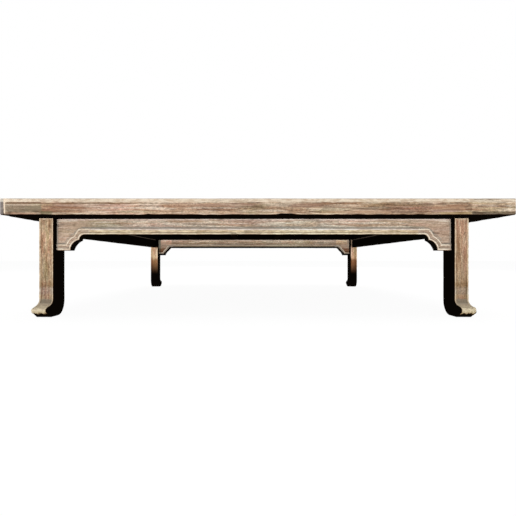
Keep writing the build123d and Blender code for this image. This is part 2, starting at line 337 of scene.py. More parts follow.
def even_rise(value, start, stop):
    """0 before start, 1 after stop, and a straight rise between them."""
    return np.clip((value - start) / (stop - start), 0, 1)


def ramp(value, start, stop):
    """0 before start, 1 after stop, and a smooth rise between them."""
    share = even_rise(value, start, stop)
    return share * share * (3 - 2 * share)


def window(value, start, full, fade, stop):
    """0 outside start and stop and 1 from full to fade, with smooth slopes between."""
    return ramp(value, start, full) * ramp(value, stop, fade)


def nowhere(places, normals):
    """0 for every vertex."""
    return np.zeros(len(places))


def everywhere(places, normals):
    """1 for every vertex."""
    return np.ones(len(places))


def mark(piece, painted_shade, rub_and_highlight=nowhere, grey_stain_and_shade=nowhere, tight_joint=nowhere):
    """Store all four attributes. The relief of a tight joint's arrises is left out."""
    places, normals, _ = read_mesh(piece)
    relief = measure_relief(piece) * (1 - tight_joint(places, normals))
    store(piece, "relief", relief)
    store(piece, "rub_and_highlight", np.clip(rub_and_highlight(places, normals), 0, 1))
    store(piece, "grey_stain_and_shade", np.clip(grey_stain_and_shade(places, normals), 0, 1))
    store(piece, "painted_shade", np.clip(painted_shade(places, normals), 0, 1))
    low, middle, high = np.percentile(relief, (2, 50, 98))
    print(f"{piece.name}: relief {low:.2f}, {middle:.2f}, {high:.2f}")


def black_shade_underneath(places, normals):
    """Undersides are painted black as shade."""
    return ramp(-normals[:, 2], 0.35, 0.6)


print("relief gain", RELIEF_GAIN, "share of the neighbours", NEIGHBOUR_SHARE)

# %% [markdown]
# ## A small kit for shader nodes
#
# A material is a tree of nodes. Written out one by one it is hard to read, so this kit
# adds a node and fills its inputs with numbers or with the outputs of other nodes. Mixing
# colours, products, sums and soft thresholds each get a short name.

# %% A small kit for shader nodes
def linear(red, green, blue):
    """A colour as a screen shows it, 0 to 255, as the linear colour that shaders use."""
    channels = []
    for value in (red, green, blue):
        share = value / 255
        channels.append(share / 12.92 if share <= 0.04045 else ((share + 0.055) / 1.055) ** 2.4)
    return (*channels, 1)


def fill(tree, node, inputs):
    """Give inputs, by name or number, a value or a link to another node's output."""
    for key, value in inputs.items():
        if isinstance(value, bpy.types.NodeSocket):
            tree.links.new(value, node.inputs[key])
        else:
            node.inputs[key].default_value = value


def put(tree, kind, inputs, **settings):
    """Add a node with its settings and inputs."""
    node = tree.nodes.new(kind)
    for key, value in settings.items():
        setattr(node, key, value)
    fill(tree, node, inputs)
    return node


def calculate(tree, operation, first, second=0.0, clamp=False):
    """One sum on numbers or outputs."""
    inputs = {0: first, 1: second}
    return put(tree, "ShaderNodeMath", inputs, operation=operation, use_clamp=clamp).outputs[0]


def times(tree, first, second):
    """The product of two numbers or outputs."""
    return calculate(tree, "MULTIPLY", first, second)


def axes_of(tree, vector):
    """The outputs X, Y and Z of a vector."""
    return put(tree, "ShaderNodeSeparateXYZ", {0: vector}).outputs


def threshold(tree, value, start, stop, low=0.0, high=1.0):
    """A soft step from low to high as the value goes from start to stop."""
    inputs = {"Value": value, "From Min": start, "From Max": stop, "To Min": low, "To Max": high}
    return put(tree, "ShaderNodeMapRange", inputs, interpolation_type="SMOOTHSTEP").outputs[0]


def blend(tree, share, below, above, how="MIX"):
    """Mix two colours."""
    inputs = {0: share, 6: below, 7: above}
    return put(tree, "ShaderNodeMix", inputs, data_type="RGBA", blend_type=how).outputs[2]


def noise(tree, vector, scale, detail=3.0, roughness=0.55, distortion=0.0):
    """A noise that runs from 0 to 1 and is mostly near 0.5."""
    inputs = {"Vector": vector, "Scale": scale, "Detail": detail, "Roughness": roughness,
              "Distortion": distortion}
    return put(tree, "ShaderNodeTexNoise", inputs).outputs["Fac"]


def stretch(tree, vector, scale, offset=(0, 0, 0)):
    """Scale a vector along each axis, then move it."""
    inputs = {0: vector, 1: scale, 2: offset}
    return put(tree, "ShaderNodeVectorMath", inputs, operation="MULTIPLY_ADD").outputs[0]


def new_group(name, inputs, outputs):
    """An empty node group with named sockets. Returns the tree and its two end nodes."""
    tree = bpy.data.node_groups.new(name, "ShaderNodeTree")
    for socket, kind, default in inputs:
        made = tree.interface.new_socket(socket, in_out="INPUT", socket_type="NodeSocket" + kind)
        if default is not None:
            made.default_value = default
    for socket, kind in outputs:
        tree.interface.new_socket(socket, in_out="OUTPUT", socket_type="NodeSocket" + kind)
    return tree, tree.nodes.new("NodeGroupInput"), tree.nodes.new("NodeGroupOutput")


def use_group(tree, group, inputs):
    """Add a node that stands for a group."""
    return put(tree, "ShaderNodeGroup", inputs, node_tree=group)


print("node kit ready; mid grey is", [round(v, 3) for v in linear(128, 128, 128)])

# %% [markdown]
# ## Weathered grain
#
# Dry elm shows long soft streaks, short dark flecks and broad changes of colour where it
# was rubbed, wetted or bleached. All of it runs with the fibres, so each noise is stretched
# along the grain, the long streaks more than the flecks. The group reads a vector whose X
# runs with the grain, and puts out a colour, a height and a roughness.
#
# The noises come first. Each is stretched along the grain by its first number, and moved
# to a place of its own. Then come its scale, its detail, its roughness and its distortion.

# %% The noises of the grain
grain_group, grain_in, grain_out = new_group(
    "weathered_grain",
    [("Vector", "Vector", None), ("Bleach", "Float", 0.5), ("Grey", "Float", 0.4),
     ("Dark", "Float", 0.8), ("Streaks", "Float", 1.0)],
    [("Color", "Color"), ("Height", "Float"), ("Roughness", "Float")])
tree = grain_group
vector = grain_in.outputs["Vector"]


def along_grain(tree, source, longer, offset=(0, 0, 0)):
    """Stretch a vector along X, the way of the grain, and move it."""
    return stretch(tree, source, (1 / longer, 1, 1), offset)


streaks = noise(tree, along_grain(tree, vector, 15), 100, 5, 0.6, 0.4)
pale_streaks = noise(tree, along_grain(tree, vector, 17, (1.3, 4.1, 2.7)), 210, 4, 0.6, 0.3)
dark_streaks = noise(tree, along_grain(tree, vector, 22, (6.1, 0.4, 3.3)), 250, 4, 0.62, 0.3)
flecks = noise(tree, along_grain(tree, vector, 2.6, (2.2, 7.7, 1.1)), 330, 3, 0.6)
speckles = noise(tree, along_grain(tree, vector, 1.3, (5.2, 3.4, 8.8)), 390, 2, 0.6)
fibres = noise(tree, along_grain(tree, vector, 40), 1100, 3, 0.6)
patches = noise(tree, along_grain(tree, vector, 7), 36, 4, 0.55, 0.3)
tints = noise(tree, along_grain(tree, vector, 8, (3.7, 1.9, 5.3)), 48, 4, 0.55, 0.3)
broad = noise(tree, along_grain(tree, vector, 3, (8.1, 2.9, 0.6)), 13, 3, 0.5)
print("nodes for the noises:", len(tree.nodes))

# %% [markdown]
# The colours are laid one over another, from the deepest to the palest, and each noise says
# where its colour shows. Fibres, flecks, speckles and broad patches then shade the whole.

# %% The colours and the height of the grain
PALE = linear(226, 209, 186)
TAN = linear(192, 164, 136)
BROWN = linear(150, 117, 92)
DARK = linear(108, 82, 63)
ROSE = linear(190, 150, 130)
GREY = linear(150, 141, 130)
OLIVE = linear(168, 154, 120)
CRACK = linear(58, 42, 30)

streak_share = times(tree, threshold(tree, streaks, 0.38, 0.60), grain_in.outputs["Streaks"])
colour = blend(tree, streak_share, TAN, BROWN)
colour = blend(tree, threshold(tree, patches, 0.50, 0.62, 0, 0.7), colour, ROSE)
colour = blend(tree, threshold(tree, tints, 0.52, 0.64, 0, 0.65), colour, OLIVE)
grey_share = times(tree, threshold(tree, tints, 0.47, 0.36), grain_in.outputs["Grey"])
colour = blend(tree, grey_share, colour, GREY)
dark_share = times(tree, threshold(tree, dark_streaks, 0.53, 0.64), grain_in.outputs["Dark"])
colour = blend(tree, dark_share, colour, DARK)
pale_share = times(tree, threshold(tree, pale_streaks, 0.46, 0.62), grain_in.outputs["Bleach"])
colour = blend(tree, pale_share, colour, PALE)

shade = times(tree, threshold(tree, fibres, 0.3, 0.75, 0.84, 1.1),
              threshold(tree, flecks, 0.3, 0.7, 0.68, 1.22))
shade = times(tree, shade, threshold(tree, speckles, 0.32, 0.68, 0.80, 1.18))
shade = times(tree, shade, threshold(tree, broad, 0.35, 0.65, 0.86, 1.1))
shade_colour = put(tree, "ShaderNodeCombineXYZ", {0: shade, 1: shade, 2: shade}).outputs[0]
colour = blend(tree, 1.0, colour, shade_colour, "MULTIPLY")

height = calculate(tree, "ADD", times(tree, fibres, 0.35), times(tree, pale_streaks, 0.7))
height = calculate(tree, "SUBTRACT", height, times(tree, dark_streaks, 0.7))
roughness = threshold(tree, fibres, 0.2, 0.8, 0.72, 0.95)
fill(tree, grain_out, {"Color": colour, "Height": height, "Roughness": roughness})
print("grain nodes:", len(tree.nodes))

# %% [markdown]
# ## Drying cracks
#
# Cracks follow the grain, are long and hair thin, and come in groups. A stretched noise
# crosses its middle value along long wandering lines; keeping only a narrow band about
# that value draws them, and a broad second noise lets them show in a few places.

# %% Drying cracks
crack_group, crack_in, crack_out = new_group(
    "drying_cracks", [("Vector", "Vector", None), ("Amount", "Float", 0.5)],
    [("Mask", "Float")])
tree = crack_group
line_noise = noise(tree, along_grain(tree, crack_in.outputs["Vector"], 22), 90, 4, 0.65, 0.3)
off_line = calculate(tree, "ABSOLUTE", calculate(tree, "SUBTRACT", line_noise, 0.5))
line = threshold(tree, off_line, 0.016, 0.004)
place_noise = noise(tree, along_grain(tree, crack_in.outputs["Vector"], 4), 26, 3)
near_place = times(tree, threshold(tree, place_noise, 0.54, 0.64), line)
fill(tree, crack_out, {"Mask": times(tree, near_place, crack_in.outputs["Amount"])})
print("crack nodes:", len(tree.nodes))

# %% [markdown]
# ## Rubbed arrises with a painted highlight, grooves with dirt and painted shade, and painted black shade
#
# This group turns the measured attributes into masks. Wear and its painted highlight are
# strong on an arris but ragged, so the relief is shifted by noise before it is cut. Grooves
# gather dirt and painted shade below zero relief. The painted black shade thins out raggedly
# at its border: first to a brown half shade that still shows the grain, then to bare wood.

# %% Wear, painted highlight and painted shade masks
# Pale worn wood, which also serves as the painted highlight on arrises and along the top of the
# rails.
WORN_HIGHLIGHT = linear(230, 215, 193)
WORN_HIGHLIGHT_DULL = linear(204, 183, 159)

# The Wear input sets how strong both the wear and its painted highlight are.
mask_group, mask_in, mask_out = new_group(
    "wear_and_painted_light_masks", [("Vector", "Vector", None), ("Wear", "Float", 1.0)],
    [("Worn Highlight", "Float"), ("Worn Highlight Color", "Color"), ("Dirt And Shade", "Float"), ("Grey Stain And Shade", "Float"),
     ("Half Shade", "Float"), ("Painted Shade", "Float")])
tree = mask_group
relief, rub_and_highlight, grey_stain_and_shade, black_shade = (
    put(tree, "ShaderNodeAttribute", {}, attribute_name=name).outputs["Fac"]
    for name in ("relief", "rub_and_highlight", "grey_stain_and_shade", "painted_shade"))
vector = mask_in.outputs["Vector"]
ragged = noise(tree, along_grain(tree, vector, 5), 230, 4, 0.65)
ragged_fine = noise(tree, vector, 420, 3, 0.6)
shift = times(tree, calculate(tree, "SUBTRACT", ragged, 0.5), 0.6)
raised = calculate(tree, "ADD", relief, times(tree, rub_and_highlight, 0.3))
# Worn arrises with a painted highlight.
worn_highlight = threshold(tree, calculate(tree, "ADD", raised, shift), 0.04, 0.30)
worn_highlight = calculate(tree, "MULTIPLY", worn_highlight, mask_in.outputs["Wear"], clamp=True)
# Dirt and painted shade in hollows.
dirt_and_shade = threshold(tree, calculate(tree, "ADD", relief, times(tree, shift, 0.5)), -0.02, -0.20)
# Grey from damp and dust, with painted shade in the aprons' grooves and above the feet.
grey_stain_and_shaded = threshold(tree, calculate(tree, "ADD", grey_stain_and_shade, shift), 0.25, 0.65)

# The painted black shade's edge is ragged only where it is thin, so full painted shade stays full.
thin = times(tree, black_shade, calculate(tree, "SUBTRACT", 1.0, black_shade))
edge_shift = times(tree, calculate(tree, "SUBTRACT", ragged_fine, 0.5), thin)
ragged_black_shade = calculate(tree, "ADD", black_shade, edge_shift)
worn_highlight_patches = noise(tree, along_grain(tree, vector, 3, (2.9, 0.7, 4.4)), 210, 4, 0.65)
worn_highlight_colour = blend(tree, threshold(tree, worn_highlight_patches, 0.40, 0.58), WORN_HIGHLIGHT_DULL, WORN_HIGHLIGHT)
fill(tree, mask_out, {"Worn Highlight": worn_highlight, "Worn Highlight Color": worn_highlight_colour, "Dirt And Shade": dirt_and_shade, "Grey Stain And Shade": grey_stain_and_shaded,
                      "Half Shade": threshold(tree, ragged_black_shade, 0.02, 0.34),
                      "Painted Shade": threshold(tree, ragged_black_shade, 0.30, 0.96)})
print("mask nodes:", len(tree.nodes))

# %% [markdown]
# ## The wood material
#
# One function makes a material for one timber. It turns the object's own coordinates so
# that the grain runs the right way, moves them so that neighbours don't share a pattern,
# and stacks the groups: grain, cracks, dirt with painted shade, rubbed arrises with a
# painted highlight, and painted black shade. The wood is so dry that it has no gloss, so the
# specular level is zero; that also keeps the undersides, painted black as shade, black from a low
# eye.

# %% The wood material
# A colour for dirt and painted shade in hollows, a grey for stains and painted shade, and a brown
# half shade and a near black for the painted shade on undersides and inward faces.
DIRT_AND_SHADE = linear(118, 105, 90)
GREY_STAIN_AND_SHADE = linear(137, 133, 123)
HALF_SHADE = linear(168, 142, 125)
SHADE_BLACK = linear(9, 6, 4)
GREY_STAIN_AND_SHADE_STRENGTH = 0.75
SEED_STEP = (0.37, 0.113, 0.071)
GRAIN_TURN = {"x": (0, 0, 0), "y": (0, 0, math.radians(90)), "z": (0, math.radians(90), 0)}


def wood(name, grain_axis, seed, bleach=0.5, grey=0.4, dark=0.8, streaks=1.0, wear_and_painted_light=0.85,
         dirt_and_shade=0.8, cracks=0.7, short=1.0, tint=(1, 1, 1, 1), tones=(), extras=()):
    """A weathered elm material with its grain along one axis; short makes shorter streaks.

    The seed moves the pattern. The tones are laid over the grain, below the wear with its
    painted highlight and the painted shade in hollows, and the extras over those, below the
    painted black shade.
    """
    material = bpy.data.materials.new(name)
    material.use_nodes = True
    tree = material.node_tree
    shader = tree.nodes["Principled BSDF"]
    own_place = put(tree, "ShaderNodeTexCoord", {}).outputs["Object"]
    place = stretch(tree, own_place, (1, 1, 1), (-UNDERFRAME_X, 0, 0))
    squeeze = [short if axis == grain_axis else 1 for axis in "xyz"]
    turned = put(tree, "ShaderNodeMapping",
                 {"Vector": place, "Rotation": GRAIN_TURN[grain_axis], "Scale": squeeze,
                  "Location": [step * seed for step in SEED_STEP]}).outputs[0]
    grain = use_group(tree, grain_group, {"Vector": turned, "Bleach": bleach, "Grey": grey,
                                          "Dark": dark, "Streaks": streaks})
    crack = use_group(tree, crack_group, {"Vector": turned, "Amount": cracks})
    masks = use_group(tree, mask_group, {"Vector": turned, "Wear": wear_and_painted_light})

    colour = grain.outputs["Color"]
    for tone in tones:
        colour = tone(tree, place, colour)
    # Grey stain, with painted shade in the aprons' grooves and above the feet.
    colour = blend(tree, times(tree, masks.outputs["Grey Stain And Shade"], GREY_STAIN_AND_SHADE_STRENGTH), colour, GREY_STAIN_AND_SHADE)
    # Dirt and painted shade in the hollows.
    colour = blend(tree, times(tree, masks.outputs["Dirt And Shade"], dirt_and_shade), colour, DIRT_AND_SHADE)
    # Wear with a painted highlight on the arrises.
    colour = blend(tree, masks.outputs["Worn Highlight"], colour, masks.outputs["Worn Highlight Color"])
    colour = blend(tree, crack.outputs["Mask"], colour, CRACK)
    # The tint also lifts the back legs and the back apron as painted light.
    colour = blend(tree, 1.0, colour, tint, "MULTIPLY")
    for extra in extras:
        colour = extra(tree, place, colour)
    # Painted half shade, then painted black shade, on undersides and inward faces.
    colour = blend(tree, masks.outputs["Half Shade"], colour, HALF_SHADE, "MULTIPLY")
    colour = blend(tree, masks.outputs["Painted Shade"], colour, SHADE_BLACK)

    height = calculate(tree, "SUBTRACT", grain.outputs["Height"], crack.outputs["Mask"])
    bump = put(tree, "ShaderNodeBump", {"Height": height, "Strength": 0.5, "Distance": 0.8 * MM})
    fill(tree, shader, {"Base Color": colour, "Roughness": grain.outputs["Roughness"],
                        "Normal": bump.outputs["Normal"], "Specular IOR Level": 0.0})
    return material


def stand_in_place(piece):
    """Move a piece of the underframe from the middle to where it stands."""
    take(piece)
    bpy.ops.transform.translate(value=(UNDERFRAME_X, 0, 0))
    apply_place()


def finish(piece, material, slot, *nodes):
    """Smooth the piece, give it its material, and seat it in the table."""
    take(piece)
    bpy.ops.object.shade_smooth_by_angle(angle=math.radians(50))
    piece.data.materials.clear()
    piece.data.materials.append(material)
    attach(piece, BODY)
    if nodes:
        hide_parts(*nodes)


print("grain axes:", sorted(GRAIN_TURN))

# %% [markdown]
# ## The frame of the top
#
# Four rails meet in mitres. A rail starts as a block; its inner face is then shortened, which
# makes both mitres at once. The outer upper arris is rubbed round, the lower one is small
# but ragged. Once the edges are rounded, cuts every few millimetres give the wear something
# to move.

# %% Rail shaping
TOP_ROUND = 3 * MM
LOWER_ROUND = 3 * MM
PROUD = 0.25 * MM
JOINT_GAP = 0.15 * MM
JOINT_ROUND = 0.5 * MM
CUT_ALONG = 5 * MM
CUT_ACROSS = 8 * MM
LONG_EDGE = 300 * MM
SHORT_EDGE = 50 * MM
UPRIGHT_EDGE = 20 * MM
RAIL_MIDDLE_Z = (TOP_Z + UNDERSIDE) / 2


def cut_evenly(piece, axis, shortest, spacing):
    """Subdivide the long edges that run along an axis so that cuts are about spacing apart."""
    pick(piece, "EDGE", lambda e: runs_along(e, axis, shortest))
    mesh = bmesh.from_edit_mesh(piece.data)
    longest = max(edge.calc_length() for edge in mesh.edges if edge.select)
    bpy.ops.mesh.subdivide(number_cuts=max(round(longest / spacing) - 1, 1))


def shape_rail(name, along, length, outer, inner, inner_length):
    """A mitred rail on the negative side; along is 0 for X and 1 for Y."""
    across = 1 - along
    low = [0, 0, UNDERSIDE + JOINT_GAP]
    high = [0, 0, TOP_Z - PROUD]
    low[along], high[along] = -length, length
    low[across], high[across] = -outer, -inner
    rail = add_block(name, low, high)

    bpy.ops.object.mode_set(mode="EDIT")
    pick(rail, "VERT", lambda v: v.co[across] > -(outer + inner) / 2)
    squeeze = [1, 1, 1]
    squeeze[along] = inner_length / length
    bpy.ops.transform.resize(value=squeeze, center_override=(0, 0, 0))

    def is_outer(edge):
        return runs_along(edge, along, LONG_EDGE) and edge_middle(edge)[across] < -(outer + inner) / 2

    def is_inner(edge):
        return runs_along(edge, along, LONG_EDGE) and edge_middle(edge)[across] > -inner - 1 * MM

    pick(rail, "EDGE", lambda e: is_outer(e) and edge_middle(e).z > RAIL_MIDDLE_Z)
    bpy.ops.mesh.bevel(offset=TOP_ROUND, segments=7, profile=0.68, affect="EDGES")
    pick(rail, "EDGE", lambda e: is_outer(e) and edge_middle(e).z < RAIL_MIDDLE_Z)
    bpy.ops.mesh.bevel(offset=LOWER_ROUND, segments=4, profile=0.5, affect="EDGES")
    pick(rail, "EDGE", is_inner)
    bpy.ops.mesh.bevel(offset=JOINT_ROUND, segments=2, profile=0.5, affect="EDGES")

    cut_evenly(rail, along, LONG_EDGE, CUT_ALONG)
    cut_evenly(rail, across, SHORT_EDGE, CUT_ACROSS)
    cut_evenly(rail, 2, UPRIGHT_EDGE, CUT_ALONG)
    deselect_all()
    return rail


print("upper arris round, mm:", TOP_ROUND / MM)

# %% [markdown]
# The long lower arris at the front is what the eye meets first. It wanders up and down by
# a millimetre, with short chips in it. Two displacements do that, one slow and one quick,
# both held to the lowest centimetre of the outer face. The front rail has a few larger
# chips, each given by its two ends and its height in mm, which are lifted one by one.
#
# The long rails carry through tenons. Their ends, with two wedges in each, stand a hair
# proud of the end rails, as old joints do, and so do the pegs on top.

# %% Rail wear and the four rails
LOWER_ARRIS_HEIGHT = 9 * MM
LOWER_ARRIS_DEPTH = 12 * MM
CHIP_REACH = 6 * MM
FRONT_CHIPS = [(-258, -248, 1.8), (52, 95, 2.4), (-466, -458, 1.2), (352, 360, 1.2)]
TENON_SETBACK = 28 * MM
TENON_WIDTH = 34 * MM
TENON_THICKNESS = 14 * MM


def wear_rail(rail, across, side):
    """Swell, waves and chips on one rail. side is -1 at the front or left, else 1."""
    def near_lower_arris(place):
        height = place.z - UNDERSIDE
        depth = (FACE_Y if across == 1 else END_X) - side * place[across]
        if depth > LOWER_ARRIS_DEPTH:
            return 0
        return (1 - height / LOWER_ARRIS_HEIGHT) * (1 - depth / LOWER_ARRIS_DEPTH)

    group = weigh(rail, "lower_arris", near_lower_arris)
    wear_group(rail, group, ARRIS_WAVES, 1.8 * MM, 0.4, "Z")
    wear_group(rail, group, ARRIS_CHIPS, 2.6 * MM, 0.42, "Z")
    plane_and_dent(rail)


def chip_arris(rail, start, stop, depth):
    """Lift the lower front arris between two places along X, in mm."""
    def in_chip(place):
        inside = start * MM < place.x - UNDERFRAME_X < stop * MM
        at_front = place.y < CHIP_REACH - FACE_Y
        return inside * at_front * (1 - (place.z - UNDERSIDE) / CHIP_REACH)

    group = weigh(rail, f"chip_{start}", in_chip)
    apply_modifier(rail, "DISPLACE", direction="Z", vertex_group=group, strength=depth * MM,
                   mid_level=0)


def add_tenons(rail, side):
    """Join two through tenons to a long rail. side is -1 for the front rail, else 1."""
    outer = FACE_Y - TENON_SETBACK
    y_range = sorted((side * outer, side * (outer - TENON_WIDTH)))
    for end in (-1, 1):
        x_range = sorted((end * RAIL_IN_X, end * (END_X - JOINT_GAP)))
        low = (x_range[0], y_range[0], RAIL_MIDDLE_Z - TENON_THICKNESS / 2)
        high = (x_range[1], y_range[1], RAIL_MIDDLE_Z + TENON_THICKNESS / 2)
        tenon = add_block("tenon", low, high)
        apply_modifier(tenon, "BEVEL", width=0.5 * MM, segments=2)
        take(rail)
        tenon.select_set(True)
        bpy.ops.object.join()


def turn_to_other_side(piece, name):
    """A copy turned half a turn about the table's middle."""
    copy = copy_of(piece, name)
    copy.rotation_euler = (0, 0, math.pi)
    apply_place()
    return copy


front_rail = shape_rail("front_rail", 0, END_X - PROUD, FACE_Y, RAIL_IN_Y, RAIL_IN_X)
left_rail = shape_rail("left_rail", 1, FACE_Y, END_X - PROUD, RAIL_IN_X, RAIL_IN_Y)
back_rail = turn_to_other_side(front_rail, "back_rail")
right_rail = turn_to_other_side(left_rail, "right_rail")
for rail, across, side in ((front_rail, 1, -1), (back_rail, 1, 1),
                           (left_rail, 0, -1), (right_rail, 0, 1)):
    wear_rail(rail, across, side)
for start, stop, depth in FRONT_CHIPS:
    chip_arris(front_rail, start, stop, depth)
add_tenons(front_rail, -1)
add_tenons(back_rail, 1)
print("rail faces:", len(front_rail.data.polygons), len(left_rail.data.polygons))

# %% [markdown]
# The rails are then measured. Their undersides and inner sides are painted black as shade,
# and the upper outer arris is rubbed and given a painted highlight. Where two timbers meet,
# in the mitres and beside the panel, the arris is sharp and clean, so its relief is left out.

# %% Painted black shade, rub and painted highlight on the rails
RAIL_WIDTH = FACE_Y - RAIL_IN_Y


def inside_frame(places):
    """How far each place lies in from the end face and from the long face of the top."""
    return END_X - np.abs(places[:, 0]), FACE_Y - np.abs(places[:, 1])


def black_shade_rail(places, normals):
    """Undersides and the inner sides of the frame are painted black as shade."""
    inner = np.maximum(-normals[:, 0] * np.sign(places[:, 0]), -normals[:, 1] * np.sign(places[:, 1]))
    below_top = ramp(places[:, 2], TOP_Z - 1.5 * MM, TOP_Z - 3.5 * MM)
    return np.maximum(ramp(-normals[:, 2], 0.32, 0.6), ramp(inner, 0.5, 0.75) * below_top)


def rub_and_highlight_rail(places, normals):
    """The upper outer arris is rubbed and carries a painted highlight; what is left of the lower one
    is rubbed.
    """
    height = places[:, 2]
    outside = np.minimum(*inside_frame(places))
    upper = ramp(height, TOP_Z - 11.5 * MM, TOP_Z - 8 * MM) * ramp(outside, 14 * MM, 8 * MM)
    lower = ramp(height, UNDERSIDE + 4.5 * MM, UNDERSIDE + 2 * MM) * ramp(outside, 4 * MM, 1 * MM)
    return np.maximum(upper, 0.25 * lower)


def near_mitre(places, normals):
    """1 on the mitres and on the inner edge, where the timbers meet."""
    from_end, from_face = inside_frame(places)
    mitre = ramp(np.abs(from_end - from_face), 6 * MM, 2.5 * MM)
    inner = ramp(np.minimum(from_end, from_face), RAIL_WIDTH - 6 * MM, RAIL_WIDTH - 2 * MM)
    return np.maximum(mitre, inner)


for rail in (front_rail, back_rail, left_rail, right_rail):
    mark(rail, black_shade_rail, rub_and_highlight_rail, tight_joint=near_mitre)

# %% [markdown]
# ## Marks of their own
#
# Some timbers have marks that no noise would put in the right place. A mark is a box in X
# and Z, in mm from the middle of the underframe, whose edges are soft and shaken by noise.
# A row of a table of marks gives its range in X, its range in Z, how soft its edges are in
# X and in Z, how far they are shaken, its colour and its strength. A shade multiplies the
# colour, so the grain still shows through it; a patch covers it.

# %% Marks
def box_mask(tree, place, rough, x_range, z_range, soft, shake):
    """1 inside a box seen from the front. Its edges are soft[0] mm wide in X, soft[1] in Z."""
    axes = axes_of(tree, place)
    moved = times(tree, calculate(tree, "SUBTRACT", rough, 0.5), 4 * shake * MM)
    mask = 1.0
    for axis, (low, high), width in (("X", x_range, soft[0]), ("Z", z_range, soft[1])):
        value = calculate(tree, "ADD", axes[axis], moved)
        rise = threshold(tree, value, (low - width / 2) * MM, (low + width / 2) * MM)
        fall = threshold(tree, value, (high + width / 2) * MM, (high - width / 2) * MM)
        mask = times(tree, mask, times(tree, rise, fall))
    return mask


def lay_marks(marks, how, deep=None):
    """An extra for wood() that lays marks over the colour, one after another.

    With deep given, the marks reach only that far in from the front face of the top.
    """
    def extra(tree, place, colour):
        rough = noise(tree, stretch(tree, place, (0.25, 1, 1)), 210, 4, 0.65)
        reach = 1.0
        if deep is not None:
            reach = threshold(tree, axes_of(tree, place)["Y"], deep - FACE_Y, 0.4 * deep - FACE_Y)
        for x_range, z_range, soft, shake, tone, share in marks:
            mask = times(tree, box_mask(tree, place, rough, x_range, z_range, soft, shake), reach)
            colour = blend(tree, times(tree, mask, share), colour, tone, how)
        return colour
    return extra


print("marks ready")

# %% [markdown]
# The front rail has the most of them: a long dry line below its rubbed arris, which also
# carries a painted highlight, a grey damp patch and a mended end at the left, a small knot,
# brown stretches where the old surface is left, and a dirty patch let in at the right.

# %% Marks on the front rail
RAIL_TINT = linear(247, 247, 247)
DAMP = linear(126, 114, 95)
SLATE = linear(116, 109, 106)
SOOT = linear(46, 36, 29)
OLD_BROWN = linear(150, 119, 101)
CLAY = linear(184, 146, 118)
LILAC = linear(168, 138, 128)
CREAM = linear(226, 207, 184)
STRAW = linear(186, 164, 112)

FRONT_SHADES = [
    ((-590, -503), (256, 277), (3, 4), 2, linear(226, 230, 228), 1),
    ((-598, -538), (249, 279), (8, 3), 2, linear(228, 229, 233), 1),
    ((-600, -508), (246, 254.5), (8, 1), 0.8, linear(218, 218, 222), 1),
    ((-503, -400), (256, 276), (12, 5), 2, linear(240, 226, 220), 1),
    ((-385, -70), (250, 277), (90, 5), 2, linear(272, 272, 276), 1),
    ((20, 215), (250, 262), (40, 4), 2, linear(280, 282, 284), 1),
    ((225, 512), (250, 277), (60, 5), 2, linear(240, 232, 228), 1),
    ((312, 421), (256, 277), (30, 5), 2.5, linear(236, 228, 226), 1),
    ((516, 622), (259, 280), (5, 3), 2, linear(304, 310, 316), 1),
    ((-590, 622), (248, 256.5), (30, 3), 1.5, linear(247, 245, 241), 1)]

FRONT_MARKS = [
    ((-500, -330), (257, 273), (12, 5), 2.5, OLD_BROWN, 0.25),
    ((-470, -300), (272, 274.5), (20, 1), 0.8, LILAC, 0.5),
    ((-139, -2), (270.5, 277.6), (16, 3), 1.5, OLD_BROWN, 0.55),
    ((88, 162), (268.5, 278), (16, 3), 2, OLD_BROWN, 0.45),
    ((160, 320), (264.5, 268.5), (20, 2), 1.2, DAMP, 0.4),
    ((175, 320), (254.5, 260), (20, 2), 1.5, CLAY, 0.4),
    ((423, 500), (262, 275), (16, 6), 2.5, CLAY, 0.35),
    ((420, 480), (257.5, 261.5), (14, 1.5), 1, LILAC, 0.5),
    ((440, 516), (251, 257), (12, 2), 1.5, STRAW, 0.35),
    ((516, 622), (248, 258), (2, 3), 3.2, SOOT, 0.62),
    ((525, 548), (268, 270.2), (4, 0.8), 0.8, DARK, 0.8),
    ((500, 516), (262.4, 264.8), (3, 0.8), 0.8, DARK, 0.8),
    ((-580, 622), (288.4, 291), (30, 1), 0.4, GREY, 0.65),
    ((-587, -503), (277.6, 280.4), (6, 0.8), 0.7, DARK, 1.0),
    ((-585, -510), (273.0, 275.6), (8, 0.8), 0.7, CREAM, 0.45),
    ((-505, -295), (276.2, 278), (10, 0.8), 0.7, DARK, 0.8),
    ((-298, -146), (276.8, 278.8), (10, 0.8), 0.7, DARK, 0.65),
    ((-587, -503), (257, 272), (5, 4), 2.5, DAMP, 0.3),
    ((-542, -503), (260, 271.5), (1.5, 1.5), 0.5, DAMP, 0.55),
    ((-575, -515), (252, 256), (10, 1.5), 1, CLAY, 0.5),
    ((-505, -477), (249, 259), (5, 3), 2.5, linear(104, 98, 70), 0.7),
    ((-612, -592.5), (249, 281.5), (1.2, 1.2), 0.3, SLATE, 0.9),
    ((-612, -592.5), (263, 268), (1.2, 2), 0.3, GREY, 0.6),
    ((-612, -592.5), (281.5, 291), (1.2, 1.2), 0.3, linear(186, 180, 170), 0.8),
    ((-593.6, -591.6), (249, 265), (0.8, 0.8), 0.2, SOOT, 0.9),
    ((-591.6, -588.2), (254, 291), (1.0, 1), 0.3, CREAM, 0.9),
    ((-591.6, -584), (281, 291), (3.0, 3), 0.8, CREAM, 0.8)]

MARK_DEPTH = 6 * MM

